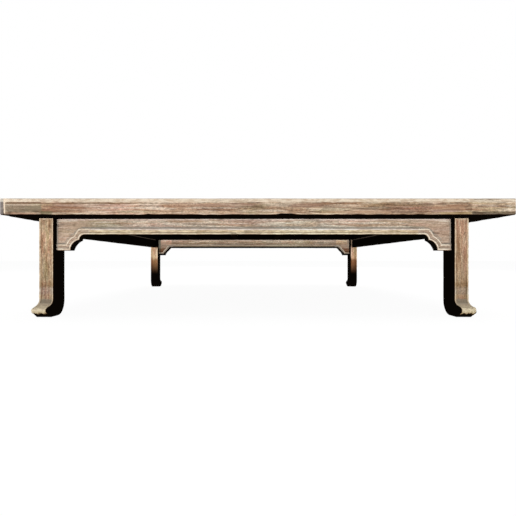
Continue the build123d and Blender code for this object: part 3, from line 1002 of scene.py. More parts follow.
front_wood = wood("front_rail_wood", "x", 1, bleach=0.55, tint=RAIL_TINT,
                  extras=(lay_marks(FRONT_SHADES, "MULTIPLY", MARK_DEPTH),
                          lay_marks(FRONT_MARKS, "MIX", MARK_DEPTH)))
finish(front_rail, front_wood, "top_wood", "front_long_rail")
for rail, axis, seed, node in ((back_rail, "x", 2, "back_long_rail"),
                               (left_rail, "y", 3, "left_end_rail"),
                               (right_rail, "y", 4, "right_end_rail")):
    finish(rail, wood(f"{rail.name}_wood", axis, seed, tint=RAIL_TINT), "top_wood", node)
print("marks on the front rail:", len(FRONT_SHADES) + len(FRONT_MARKS))

# %% [markdown]
# ## The panel
#
# Three boards float inside the frame. Each is a block with softened arrises, cut into a
# grid so that planing can swell it. The small gaps beside the frame are real and stay.

# %% The panel boards
BOARD_ROUND = 0.7 * MM
BOARD_GAP = 0.5 * MM
CUT_WIDE = 10 * MM
CUT_NARROW = 9 * MM


def shape_board(name, node):
    """A board that fills its part's box, less the tongues that hide in the groove."""
    low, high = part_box(node)
    free_x = RAIL_IN_X - BOARD_GAP
    free_y = RAIL_IN_Y - BOARD_GAP
    low = (max(low.x, -free_x), max(low.y, -free_y), low.z)
    high = (min(high.x, free_x), min(high.y, free_y), high.z)
    board = add_block(name, low, high)
    round_every_arris(board, BOARD_ROUND, 2)
    cut_evenly(board, 0, LONG_EDGE, CUT_WIDE)
    cut_evenly(board, 1, SHORT_EDGE, CUT_NARROW)
    deselect_all()
    plane_and_dent(board, 0.8 * MM, 0.2 * MM)
    mark(board, black_shade_underneath)
    return board


for seed, which in enumerate(("front", "middle", "back"), start=5):
    board = shape_board(f"{which}_board", f"{which}_top_board")
    material = wood(f"{which}_board_wood", "x", seed, bleach=0.5, grey=0.5)
    finish(board, material, "top_wood", f"{which}_top_board")

# %% [markdown]
# ## Battens
#
# The four battens under the panel are rough and wholly painted black as shade. They are
# squared blocks with a softened arris.

# %% The battens
BATTEN_ROUND = 1.5 * MM

batten_wood = wood("batten_wood", "y", 8, wear_and_painted_light=0.15)
for number in range(1, 5):
    low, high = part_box(f"batten_{number}")
    low.y = -RAIL_IN_Y
    high.y = RAIL_IN_Y
    high.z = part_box("middle_top_board")[0].z
    batten = add_block(f"cross_batten_{number}", low, high)
    round_every_arris(batten, BATTEN_ROUND, 3)
    cut_evenly(batten, 1, LONG_EDGE, CUT_WIDE)
    deselect_all()
    plane_and_dent(batten)
    # The whole batten is painted black as shade.
    mark(batten, everywhere)
    finish(batten, batten_wood, "inner_wood", f"batten_{number}")

# %% [markdown]
# ## Sheets wrapped round a section
#
# A leg and an apron have the same kind of shape: a section that travels along a line. A
# grid primitive is a sheet with rows and columns. If the columns follow the line and the
# rows follow the section, all the way round and back to the start, the sheet closes into
# a bar. The seam is merged, the two ends are filled and the normals are turned outward.

# %% Wrap a grid round a section
def wrap_sheet(name, columns, rows, place):
    """A grid carried to place(column, row), sewn shut along its last row and at its ends."""
    deselect_all()
    bpy.ops.mesh.primitive_grid_add(x_subdivisions=columns - 1, y_subdivisions=rows, size=2)
    piece = name_active(name)
    for vertex in piece.data.vertices:
        column = round((vertex.co.x + 1) / 2 * (columns - 1))
        row = round((vertex.co.y + 1) / 2 * rows) % rows
        vertex.co = place(column, row)
    bpy.ops.object.mode_set(mode="EDIT")
    bpy.ops.mesh.select_all(action="SELECT")
    bpy.ops.mesh.remove_doubles(threshold=0.001 * MM)
    bpy.ops.mesh.fill_holes(sides=0)
    turn_faces_out()
    return piece


def evenly(start, stop, count):
    """count numbers from start to stop."""
    return [start + (stop - start) * i / max(count - 1, 1) for i in range(count)]


print("wrap_sheet ready")

# %% [markdown]
# ## The legs
#
# Seen from the side, the front of a leg drops straight, springs forward over a small
# round, runs down to a blunt toe and turns under it to the sole. The back edge drops and
# rounds away under the heel. A path through a few corners with rounded turns gives the
# front line and, at each point, the way out of the wood.

# %% The side lines of a leg
SHEET_GAP = 0.1 * MM
TOE_SPRING = (0, 32.8 * MM)
TOE_CORNER = (29.8 * MM, 21.6 * MM)
SOLE_FRONT = (6 * MM, 0)
SPRING_ROUND = 15 * MM
NOSE_ROUND = 8 * MM
SPRING_POINTS = 11
SLOPE_POINTS = 5
NOSE_POINTS = 13
UNDER_POINTS = 6
HEEL_LENGTH = 21.5 * MM
HEEL_HEIGHT = 38 * MM


def rounded_turn(before, corner, after, radius, count):
    """Points and outward directions round a corner of a path that keeps wood on its right."""
    before, corner, after = Vector(before), Vector(corner), Vector(after)
    way_in = (corner - before).normalized()
    way_out = (after - corner).normalized()
    turn = math.atan2(way_in.cross(way_out), way_in.dot(way_out))
    hollow = math.copysign(1, turn)
    start = corner - way_in * radius * math.tan(abs(turn) / 2)
    outward = Vector((-way_in.y, way_in.x))
    centre = start + outward * radius * hollow
    result = []
    for angle in evenly(0, turn, count):
        facing = outward.copy()
        facing.rotate(Matrix.Rotation(angle, 2))
        result.append((centre - facing * radius * hollow, facing))
    return result


def straight(start, stop, count):
    """Points and outward directions between two places, without either end."""
    start, stop = Vector(start), Vector(stop)
    way = (stop - start).normalized()
    outward = Vector((-way.y, way.x))
    return [(start.lerp(stop, share), outward) for share in evenly(0, 1, count + 2)[1:-1]]


leg_top = (0, UNDERSIDE)
spring = rounded_turn(leg_top, TOE_SPRING, TOE_CORNER, SPRING_ROUND, SPRING_POINTS)
nose = rounded_turn(TOE_SPRING, TOE_CORNER, SOLE_FRONT, NOSE_ROUND, NOSE_POINTS)
slope = straight(spring[-1][0], nose[0][0], SLOPE_POINTS)
under = straight(nose[-1][0], SOLE_FRONT, UNDER_POINTS)
toe_line = spring + slope + nose + under + [(Vector(SOLE_FRONT), nose[-1][1])]
print("spring starts at height", round(spring[0][0].y / MM, 2), "mm; nose reaches",
      round(max(p.x for p, _ in nose) / MM, 2), "mm out")

# %% [markdown]
# The back line is simpler: straight down, then a quarter of an ellipse under the heel. To
# each place on the front line belongs one on the back line, and a ring of points runs
# round the leg between them. Across the front and back faces the ring dips between two
# beads. At the toe two shallow notches are worn into the face. A row of the ring is given
# as its distance from the arris and its depth behind the face, in mm.

# %% Leg shape
ARRIS_ROWS = [(0, 1.1), (0.25, 0.45), (0.8, 0.05)]
INNER_BEAD_ROWS = ARRIS_ROWS + [(2.0, 0), (3.8, 0), (4.5, 0.25), (5.0, 0.85)]
OUTER_BEAD_ROWS = ARRIS_ROWS + [(1.6, 0), (3.0, 0), (3.6, 0.25), (4.0, 0.85)]
FIELD_SINK = 1 * MM
SHARP_ARRIS = 0.4 * MM
LOBE_DEPTH = 1.1 * MM
LOBES = [(0, 11 * MM), (11 * MM, 19 * MM), (19 * MM, LEG_SIZE)]
SIDE_SHARES = [0.03, 0.08, 0.16, 0.27, 0.39, 0.5, 0.61, 0.73, 0.84, 0.92, 0.97]
LEG_JOINT = UNDERSIDE - SHEET_GAP
LEG_STEP = 4 * MM
FIELD_STEPS = 13

inner_ring = [(u * MM, sink * MM) for u, sink in INNER_BEAD_ROWS]
field_ring = [(u, FIELD_SINK) for u in evenly(6 * MM, LEG_SIZE - 5 * MM, FIELD_STEPS)]
outer_ring = [(LEG_SIZE - u * MM, sink * MM) for u, sink in reversed(OUTER_BEAD_ROWS)]
face_ring = inner_ring + field_ring + outer_ring

foot_start = toe_line[0][0].y
post_heights = evenly(LEG_JOINT, foot_start, round((LEG_JOINT - foot_start) / LEG_STEP))[:-1]
leg_front = [(Vector((0, z)), Vector((1, 0))) for z in post_heights] + toe_line
leg_back = [(Vector((-LEG_SIZE, z)), Vector((-1, 0))) for z in post_heights]
for share in evenly(0, 1, len(toe_line)):
    angle = share * math.pi / 2
    point = Vector((HEEL_LENGTH - LEG_SIZE - HEEL_LENGTH * math.cos(angle),
                    HEEL_HEIGHT * (1 - math.sin(angle))))
    facing = Vector((-math.cos(angle) / HEEL_LENGTH, -math.sin(angle) / HEEL_HEIGHT))
    leg_back.append((point, facing.normalized()))

# Stations are counted down the leg, from the joint under the top to the sole.
TOE_START = len(post_heights) + SPRING_POINTS + SLOPE_POINTS + 2
FACE_FADES = TOE_START + 4
TOE_FULL = TOE_START + 6
TOE_END = len(leg_front) - 1
NOSE_END = TOE_END - UNDER_POINTS - 1


def foot_fade(station):
    """1 down to the top of the foot, then down to 0 at the sole."""
    return 1 - max(station - len(post_heights), 0) / len(toe_line)


def face_sink(across, sink, station):
    """How far the face lies in from its side line at one place."""
    carving = 1 - even_rise(station, FACE_FADES, TOE_END)
    on_toe = even_rise(station, TOE_START, TOE_FULL) * even_rise(station, TOE_END, NOSE_END)
    low, high = next(pair for pair in LOBES if across <= pair[1])
    lobes = 1 - abs(math.sin(math.pi * (across - low) / (high - low))) ** 0.6
    return sink * carving + LOBE_DEPTH * lobes * on_toe


def leg_place(station, row):
    """Where the grid's point goes, on the front right leg."""
    width = len(face_ring)
    depth = len(SIDE_SHARES)
    if row < width:
        u, sink = face_ring[row]
        point, facing = leg_front[station]
        spot = point - facing * face_sink(u, sink, station)
    elif row < width + depth:
        u = LEG_SIZE
        spot = leg_side(station, SIDE_SHARES[row - width])
    elif row < 2 * width + depth:
        u, sink = face_ring[2 * width + depth - 1 - row]
        if u < 2 * MM:
            sink = min(sink, SHARP_ARRIS)
        point, facing = leg_back[station]
        spot = point - facing * sink * foot_fade(station)
    else:
        u = 0
        spot = leg_side(station, SIDE_SHARES[2 * (width + depth) - 1 - row])
    return Vector((LEG_IN_X + u, -LEG_OUT_Y - spot.x, spot.y))


def leg_side(station, share):
    """A place on a side face, part of the way from the front line to the back line."""
    front, front_facing = leg_front[station]
    back, back_facing = leg_back[station]
    front = front - front_facing * face_ring[0][1] * foot_fade(station)
    back = back - back_facing * SHARP_ARRIS * foot_fade(station)
    return front.lerp(back, share)


ring_rows = 2 * (len(face_ring) + len(SIDE_SHARES))
leg_master = wrap_sheet("leg_master", len(leg_front), ring_rows, leg_place)
print("leg faces:", len(leg_master.data.polygons))

# %% [markdown]
# The other legs are mirror copies with meshes of their own. They are mirrored before they
# are worn, so each leg wears in its own way. Painted black shade covers the sides that look
# to the middle of the table, the underside of the foot, and the faces that look inward
# low down; the back legs are also painted lighter, as painted light.

# %% The four legs
# Heights where the painted black shade on the inward faces of the legs fades out upward.
BLACK_SHADE_HEIGHTS = [0.062, 0.119, 0.163]
BLACK_SHADE_SHARES = [1.0, 0.55, 0.0]
SEAM_WIDTH = 4.5 * MM
LEG_TINT = (0.97, 0.92, 0.84, 1)
# The back legs are painted lighter than the front ones: painted light, standing in for light that
# their place under the table doesn't get.
BACK_LEG_PAINTED_LIGHT = (1.50, 1.42, 1.26, 1)
TOE_LUMPS = cloud("toe_lumps", 0.008, 1)
TOE_OLIVE = linear(132, 118, 82)
TOE_CREAM = linear(216, 203, 172)
TOE_ROSE = linear(188, 173, 152)

LEG_SHADES = [
    ((-600, 600), (-9, 172), (1, 50), 2, linear(240, 240, 238), 1),
    ((-600, 600), (74, 88), (1, 9), 2, linear(226, 218, 208), 1),
    ((-600, 600), (56, 76), (1, 8), 2, linear(246, 252, 266), 1)]
# On the back legs: painted light on the inner beads, most where the end apron shades the right one,
# and painted shade along the outer edges.
BACK_LEG_HIGHLIGHT_AND_SHADE = [
    ((-521, -514), (150, 209), (1.5, 6), 0.5, linear(280, 285, 294), 1),
    ((514, 521), (150, 262), (1.5, 6), 0.5, linear(284, 290, 302), 1),
    ((-544, -536), (-9, 262), (2, 4), 0.8, linear(228, 224, 217), 1),
    ((536, 544), (-9, 262), (2, 4), 0.8, linear(228, 224, 217), 1)]


def mirrored(piece, name, side_x, side_y):
    """A copy mirrored about the table's middle planes."""
    copy = copy_of(piece, name)
    copy.scale = (side_x, side_y, 1)
    apply_place()
    bpy.ops.object.mode_set(mode="EDIT")
    turn_faces_out()
    return copy


def black_shade_leg(places, normals):
    """Painted black shade on the sides toward the middle, under the foot, and on the inward faces low
    down, along one seam, and on the back left leg above the end apron's edge.
    """
    side_x = np.sign(places[:, 0])
    side_y = np.sign(places[:, 1])
    from_inner_arris = np.abs(places[:, 0]) - LEG_IN_X
    inner_side = ramp(-normals[:, 0] * side_x, 0.35, 0.6) * (from_inner_arris < 2.5 * MM)
    toward_middle = np.maximum(inner_side, ramp(from_inner_arris, 1.5 * MM, 0.7 * MM))
    inward = ramp(-normals[:, 1] * side_y, 0.45, 0.7)
    low = np.interp(places[:, 2], BLACK_SHADE_HEIGHTS, BLACK_SHADE_SHARES)
    seam = ramp(from_inner_arris, SEAM_WIDTH + 0.8 * MM, SEAM_WIDTH) * (side_x * side_y > 0)
    # The back left leg is painted black above the end apron's edge, as painted shade of that apron.
    back_left = (side_x < 0) & (side_y > 0)
    above_edge = ramp(places[:, 2], END_APRON_EDGE - 1 * MM, END_APRON_EDGE + 3 * MM)
    under_apron = back_left * above_edge * (from_inner_arris < 13 * MM)
    below = ramp(-normals[:, 2], 0.3, 0.6)
    toe = ramp(np.abs(places[:, 1]) - LEG_OUT_Y, -1 * MM, 2 * MM)
    wander = 1.5 * MM * np.sin(places[:, 0] * 420) + 1 * MM * np.sin(places[:, 0] * 1130 + 2)
    bare_toe = toe * ramp(places[:, 2] + wander, 10 * MM, 12 * MM)
    inner_faces = inward * np.maximum.reduce([low, seam, under_apron])
    return np.maximum.reduce([toward_middle, inner_faces, below * (1 - bare_toe)])


def rub_leg(places, normals):
    """The beads are rubbed all the way down, and the toe all over."""
    from_inner_arris = np.abs(places[:, 0]) - LEG_IN_X
    across = np.minimum(from_inner_arris, LEG_SIZE - from_inner_arris)
    outward = np.abs(places[:, 1]) - LEG_OUT_Y
    bead = 0.65 * ramp(across, 5.5 * MM, 3.5 * MM) * ramp(outward, -1.5 * MM, -0.5 * MM)
    toe = ramp(outward, 3 * MM, 10 * MM)
    inward = LEG_IN_Y + 1.5 * MM - np.abs(places[:, 1])
    inner_bead = 0.7 * ramp(inward, 0, 1 * MM) * ramp(from_inner_arris, 6 * MM, 4.5 * MM)
    return np.maximum.reduce([bead, toe, inner_bead])


def grey_stain_and_shade_leg(places, normals):
    """Greys the outer face just above the foot: a damp stain, and painted shade where the face turns
    up into the toe.
    """
    outward = np.abs(places[:, 1]) - LEG_OUT_Y
    band = window(places[:, 2], 29 * MM, 34 * MM, 40 * MM, 50 * MM)
    return 0.75 * band * ramp(outward, -2 * MM, -1 * MM)


def near_toe(place):
    """1 over the nose of the toe, 0 or less on the sole and above the nose."""
    outward = abs(place.y) - LEG_OUT_Y
    return min((outward - 6 * MM) / (8 * MM), place.z / (4 * MM))


def near_leg_arris(place):
    """1 on the outer upright arrises of a leg, 0 or less a few millimetres from them."""
    across = min(abs(place.x) - LEG_IN_X, LEG_OUT_X - abs(place.x))
    depth = abs(abs(place.y) - LEG_OUT_Y)
    return 1 - math.hypot(max(across, 0), depth) / (3.5 * MM)


def toe_tones(tree, place, colour):
    """The toe is worn to cream, with olive shadows along its lower edge."""
    axes = axes_of(tree, place)
    outward = calculate(tree, "ABSOLUTE", axes["Y"])
    slope = threshold(tree, outward, LEG_OUT_Y + 0.5 * MM, LEG_OUT_Y + 3.5 * MM, 0, 0.6)
    colour = blend(tree, slope, colour, TOE_ROSE)
    toe = threshold(tree, outward, LEG_OUT_Y + 2 * MM, LEG_OUT_Y + 14 * MM)
    blotches = noise(tree, place, 280, 4, 0.65)
    cream = times(tree, toe, threshold(tree, blotches, 0.58, 0.46, 0.15, 0.85))
    colour = blend(tree, cream, colour, TOE_CREAM)
    nose = threshold(tree, outward, LEG_OUT_Y + 8 * MM, LEG_OUT_Y + 12 * MM)
    low = calculate(tree, "ADD", axes["Z"], times(tree, blotches, 30 * MM))
    shadow = times(tree, nose, threshold(tree, low, 34 * MM, 27 * MM, 0, 0.8))
    return blend(tree, shadow, colour, TOE_OLIVE)


front_leg_extras = (lay_marks(LEG_SHADES, "MULTIPLY"), toe_tones)
back_leg_extras = (lay_marks(BACK_LEG_HIGHLIGHT_AND_SHADE, "MULTIPLY"),)
for name, side_x, side_y in (("front_right", 1, 1), ("front_left", -1, 1),
                             ("back_right", 1, -1), ("back_left", -1, -1)):
    leg = mirrored(leg_master, f"{name}_foot_leg", side_x, side_y)
    plane_and_dent(leg, 0.7 * MM, 0.3 * MM)
    for vertex in leg.data.vertices:
        vertex.co.z = max(vertex.co.z, 0)
    wear_group(leg, weigh(leg, "toe", near_toe), TOE_LUMPS, 3.2 * MM, 0.55)
    wear_group(leg, weigh(leg, "arris", near_leg_arris), ARRIS_CHIPS, 1.5 * MM, 0.62)
    mark(leg, black_shade_leg, rub_leg, grey_stain_and_shade_leg)
    stand_in_place(leg)
    seed = 11 + side_x + 2 * side_y
    in_front = side_y == 1
    material = wood(f"{name}_leg_wood", "z", seed, bleach=0.4, grey=0.25, dark=0.5, dirt_and_shade=0.3,
                    short=1.7, tint=LEG_TINT if in_front else BACK_LEG_PAINTED_LIGHT,
                    extras=front_leg_extras if in_front else back_leg_extras)
    finish(leg, material, "leg_wood", f"{name}_leg")
bpy.data.objects.remove(leg_master)
print("legs finished")

# %% [markdown]
# ## The carved aprons
#
# The lower edge of a long apron is a flat beside the leg, a large cove, a small cove and a
# long straight. Moving that line into the wood by a distance d gives every line of the
# band: the radii of the coves grow by d, and the point where they meet moves with them.
# Above the small cove the carver left the band a little fuller, almost a corner.
#
# The back apron was cut more simply: its coves are shallow, nearly one slanting line, and
# its straight edge hangs a little lower. The front apron differs from face to face: on the
# inner one the large cove is a wider sweep. So there are three lines. Each is given by the
# centre and radius of both coves, with the share by which the large one grows, by the
# height of the straight, and by where the band's corner is.

# %% Lines of the long apron
SPANDREL_FLAT = 35 * MM
LARGE_COVE = 27 * MM
SMALL_COVE = 14 * MM
COVE_STEP = 4 * MM
STRAIGHT_EDGE = UNDERSIDE - 40 * MM
FLAT_HANGS = 1.2 * MM
BAND_CORNER_SWELL = 0.2
COVE_POINTS = 14
STEP_POINTS = 11
FLAT_POINTS = 8
STRAIGHT_POINTS = 100

large_x = LEG_IN_X - SPANDREL_FLAT - LARGE_COVE
small_x = large_x + COVE_STEP - SMALL_COVE
FRONT_EDGE = {"large": (Vector((large_x, SPANDREL_EDGE)), LARGE_COVE, 0.88),
              "small": (Vector((small_x, STRAIGHT_EDGE - SMALL_COVE)), SMALL_COVE),
              "straight": STRAIGHT_EDGE,
              "corner": (math.radians(62), 0.4)}
INNER_EDGE = dict(FRONT_EDGE, large=(Vector((0.436, 0.158)), 40 * MM, 0.88))
BACK_EDGE = {"large": (Vector((0.4311, 0.1545)), 48.1 * MM, 1.0),
             "small": (Vector((0.4233, 0.1743)), 40.2 * MM),
             "straight": STRAIGHT_EDGE - 3.2 * MM,
             "corner": (math.radians(42), 0.22)}


def meeting_point(first, first_radius, second, second_radius):
    """The outer one of the two points where two circles meet."""
    between = second - first
    distance = between.length
    along_it = (first_radius ** 2 - second_radius ** 2 + distance ** 2) / (2 * distance)
    aside = math.sqrt(first_radius ** 2 - along_it ** 2)
    way = between / distance
    return first + way * along_it + Vector((way.y, -way.x)) * aside


def on_circle(centre, radius, angle):
    """The point of a circle at an angle."""
    return centre + Vector((math.cos(angle), math.sin(angle))) * radius


def apron_line(inset, edge):
    """The lower line of a long apron moved into the wood, from the right end to the left."""
    large_centre, large_radius, spread = edge["large"]
    small_centre, small_radius = edge["small"]
    corner_angle, corner_reach = edge["corner"]
    large = large_radius + spread * inset
    small = small_radius + inset
    cusp = meeting_point(large_centre, large, small_centre, small)
    flat_height = SPANDREL_EDGE + inset - (FLAT_HANGS if inset == 0 else 0)
    first_angle = math.asin((flat_height - large_centre.y) / large)
    last_angle = math.asin(min((edge["straight"] + inset - small_centre.y) / small, 1))
    to_cusp = cusp - large_centre
    from_small = cusp - small_centre
    cove = [on_circle(large_centre, large, angle)
            for angle in evenly(first_angle, math.atan2(to_cusp.y, to_cusp.x), COVE_POINTS)]
    flat_start = LEG_IN_X - SHEET_GAP
    flat = [Vector((x, flat_height)) for x in evenly(flat_start, cove[0].x, FLAT_POINTS)]
    step = []
    for angle in evenly(math.atan2(from_small.y, from_small.x), last_angle, STEP_POINTS):
        corner = max(1 - abs(angle - corner_angle) / corner_reach, 0)
        step.append(on_circle(small_centre, small + BAND_CORNER_SWELL * corner * inset, angle))
    straight_run = [Vector((x, step[-1].y)) for x in evenly(step[-1].x, 0, STRAIGHT_POINTS)]
    half = flat[:-1] + cove + step[1:] + straight_run[1:]
    return half + [Vector((-p.x, p.y)) for p in reversed(half[:-1])]


print("points along the apron:", len(apron_line(0, FRONT_EDGE)))

# %% [markdown]
# The band is a section of its own: a rounded lower arris, a hollow between two ridges and
# a step down to the flat field. Each row of the sheet is one distance from the edge with
# one depth behind the face, both in mm, and the same rows run down the inner face.

# %% Apron sheets
APRON_THICKNESS = LONG_APRON_OUT_Y - LONG_APRON_IN_Y
BAND_SECTION = [(17.0, 1.6), (16.0, 1.5), (15.6, 1.3), (15.2, 0.35), (14.7, 0.05), (12.2, 0.0),
                (11.6, 0.2), (10.6, 0.8), (9.2, 1.1), (7.7, 1.2), (6.2, 1.1), (4.9, 0.8),
                (4.0, 0.2), (3.5, 0.0), (1.7, 0.05), (0.7, 0.5), (0.0, 1.7)]
FIELD_SHARES = [1.0, 0.85, 0.7, 0.55, 0.42, 0.3, 0.2, 0.1]
FIELD_DEPTH = 1.6 * MM
UNDERSIDE_SHARES = [0.2, 0.4, 0.6, 0.8]
INNER_ARRIS = 1.2 * MM
FACE_LAYER = 2 * MM
END_STEPS = 130


def section_rows(carved_inside=True):
    """Rows round an apron: (distance from edge or None, share of the field, depth)."""
    field = [(None, share, FIELD_DEPTH) for share in FIELD_SHARES]
    band = [(d * MM, 0, t * MM) for d, t in BAND_SECTION]
    outside = field + band
    if carved_inside:
        inside = [(d, share, APRON_THICKNESS - t) for d, share, t in reversed(outside)]
    else:
        inside = [(0, 0, APRON_THICKNESS - INNER_ARRIS)]
        inside += [(d, 0, APRON_THICKNESS) for d in (INNER_ARRIS, 8 * MM, 17 * MM)]
        inside += [(None, share, APRON_THICKNESS) for share in reversed(FIELD_SHARES)]
    start = outside[-1][2]
    stop = inside[0][2]
    edge = [(0, 0, start + (stop - start) * share) for share in UNDERSIDE_SHARES]
    return outside + edge + inside


def apron_place(lines, rows):
    """A function for wrap_sheet: column along the apron, row round its section."""
    top = UNDERSIDE - SHEET_GAP

    def place(column, row):
        inset, share, depth = rows[row]
        if inset is None:
            point = lines[BAND_SECTION[0][0] * MM][column]
            return Vector((point.x, depth, point.y + (top - point.y) * share))
        point = lines[inset][column]
        return Vector((point.x, depth, point.y))
    return place


def carved_apron(name, edge, inner_edge):
    """A long apron at the front of the table, with a lower line for each of its faces."""
    rows = section_rows()
    insets = [row[0] for row in rows if row[0] is not None]
    outer_place = apron_place({inset: apron_line(inset, edge) for inset in insets}, rows)
    inner_place = apron_place({inset: apron_line(inset, inner_edge) for inset in insets}, rows)
    shift = Vector((0, LONG_APRON_OUT_Y, 0))

    def place(column, row):
        share = even_rise(rows[row][2], FACE_LAYER, APRON_THICKNESS - FACE_LAYER)
        return outer_place(column, row).lerp(inner_place(column, row), share) - shift

    return wrap_sheet(name, len(apron_line(0, edge)), len(rows), place)


front_apron = carved_apron("front_carved_apron", FRONT_EDGE, INNER_EDGE)
back_master = carved_apron("back_apron_master", BACK_EDGE, BACK_EDGE)
back_apron = mirrored(back_master, "back_carved_apron", 1, -1)
bpy.data.objects.remove(back_master)

end_rows = section_rows(carved_inside=False)
end_steps = evenly(SHEET_GAP - LEG_IN_Y, LEG_IN_Y - SHEET_GAP, END_STEPS)
end_lines = {row[0]: [Vector((y, END_APRON_EDGE + row[0])) for y in end_steps]
             for row in end_rows if row[0] is not None}
end_place = apron_place(end_lines, end_rows)


def end_apron_place(column, row):
    """The same for the right end apron, whose length runs along Y."""
    spot = end_place(column, row)
    return Vector((END_APRON_OUT_X - spot.y, spot.x, spot.z))


right_apron = wrap_sheet("right_plain_apron", len(end_steps), len(end_rows), end_apron_place)
left_apron = mirrored(right_apron, "left_plain_apron", -1, 1)
print("apron faces:", len(front_apron.data.polygons), len(right_apron.data.polygons))

# %% [markdown]
# Painted black shade covers every edge that looks down or into the open space under an
# apron, the band on the inner faces, and the whole inner faces of the end aprons. To find
# the band, each vertex is measured against the lower line of the apron. Along the coves less
# of the band is black.

# %% Painted black shade, rub, dust and painted shade on the aprons
BAND_BLACK = 8.5 * MM
COVE_BLACK = 5.5 * MM
COVES_FROM = 435 * MM
COVES_TO = 478 * MM


def behind_face(places):
    """How far each place lies behind the outer face of its long apron."""
    return LONG_APRON_OUT_Y - np.abs(places[:, 1])


def on_inner_face(places):
    """1 on the inner face of a long apron, 0 on the outer one."""
    return ramp(behind_face(places), 10 * MM, 13 * MM)


def from_lower_line(places):
    """Distance from each place to the nearer lower line of its long apron, seen from the front."""
    edges = [BACK_EDGE] if places[:, 1].mean() > 0 else [FRONT_EDGE, INNER_EDGE]
    spots = places[:, (0, 2)][:, None, :]
    distances = []
    for edge in edges:
        lower_line = np.array([tuple(point) for point in apron_line(0, edge)])
        start = lower_line[:-1]
        run = np.diff(lower_line, axis=0)
        share = ((spots - start) * run).sum(axis=2) / (run ** 2).sum(axis=1)
        nearest = start + run * np.clip(share, 0, 1)[:, :, None]
        distances.append(np.linalg.norm(spots - nearest, axis=2).min(axis=1))
    return np.min(distances, axis=0)


def black_shade_long_apron(places, normals):
    """Painted black shade on the edges and the band inside, and painted shade low on the inner face.
    """
    height = places[:, 2]
    aside = np.abs(places[:, 0])
    distance = from_lower_line(places)
    inside = on_inner_face(places)
    off_face = ramp(1 - np.abs(normals[:, 1]), 0.25, 0.6)
    behind = ramp(behind_face(places), 0.6 * MM, 1.8 * MM)
    edges = behind * off_face * (distance < 4.5 * MM)
    in_coves = (aside > COVES_FROM) & (aside <= COVES_TO)
    reach = np.where(in_coves, COVE_BLACK, BAND_BLACK)
    band = inside * ramp(distance - reach, 1.2 * MM, -1.2 * MM)
    half_shade = 0.3 * ramp(height, 218 * MM, 198 * MM) + 0.3 * ramp(height, 196 * MM, 184 * MM)
    beside_band = ramp(distance, 14.5 * MM, 16 * MM)
    return np.maximum.reduce([edges, band, inside * beside_band * half_shade])


def rub_long_apron(places, normals):
    """The band is rubbed all along, its hollow most of all."""
    distance = from_lower_line(places)
    in_hollow = window(distance, 4.5 * MM, 6 * MM, 11 * MM, 13 * MM)
    band = ramp(distance, 16.5 * MM, 14.5 * MM) * ramp(behind_face(places), 3 * MM, 2 * MM)
    on_straight = ramp(np.abs(places[:, 0]), 436 * MM, 424 * MM)
    band *= 0.42 + in_hollow * (0.46 * on_straight - 0.3 * (1 - on_straight))
    on_ridge = window(distance, 13 * MM, 14 * MM, 14.8 * MM, 16 * MM)
    return np.maximum(band, on_inner_face(places) * on_ridge)


def grey_stain_and_shade_long_apron(places, normals):
    """Grey dust and painted shade in the groove above the band and on the field just above it, and
    painted shade in the inner band's hollow.
    """
    distance = from_lower_line(places)
    groove = window(distance, 14.8 * MM, 15.6 * MM, 19 * MM, 22 * MM)
    face = window(behind_face(places), 1.0 * MM, 1.3 * MM, 3 * MM, 4 * MM)
    inner_hollow = ramp(distance, 14 * MM, 12.5 * MM) * on_inner_face(places)
    return np.maximum(0.55 * groove * face, inner_hollow)


def black_shade_end_apron(places, normals):
    """Painted black shade inside and below, greyed by dust in the joint with the top."""
    side_x = np.sign(places[:, 0])
    inward = ramp(-normals[:, 0] * side_x, 0.3, 0.6)
    dusty_joint = 0.48 * ramp(places[:, 2], UNDERSIDE - 4.5 * MM, UNDERSIDE - 2 * MM)
    return np.maximum(inward - dusty_joint, ramp(-normals[:, 2], 0.3, 0.6))


def near_apron_edge(place):
    """1 along the lower edge of the straight part, fading above and below it."""
    return 1 - abs(place.z - STRAIGHT_EDGE) / (7 * MM)


print("front apron, farthest from its lower line:",
      round(from_lower_line(read_mesh(front_apron)[0]).max() / MM, 1), "mm")

# %% [markdown]
# The aprons have marks of their own as well: a grey film in the joints beside the legs,
# dust in the joint below the top, and rosy spandrels.

# %% Finish the aprons
ROSY_FROM = 390 * MM
ROSY_FULL = 445 * MM
APRON_TINT = (1.03, 1.07, 1.11, 1)
# The back apron is painted lighter: painted light, standing in for light that its place under the
# table doesn't get.
BACK_APRON_PAINTED_LIGHT = (1.17, 1.17, 1.17, 1)
JOINT_GREY = linear(112, 104, 103)
JOINT_DUST = linear(172, 186, 192)
SPANDREL_PALE = linear(205, 173, 150)
SPANDREL_DEEP = linear(150, 121, 101)
INNER_GREY = linear(140, 138, 122)

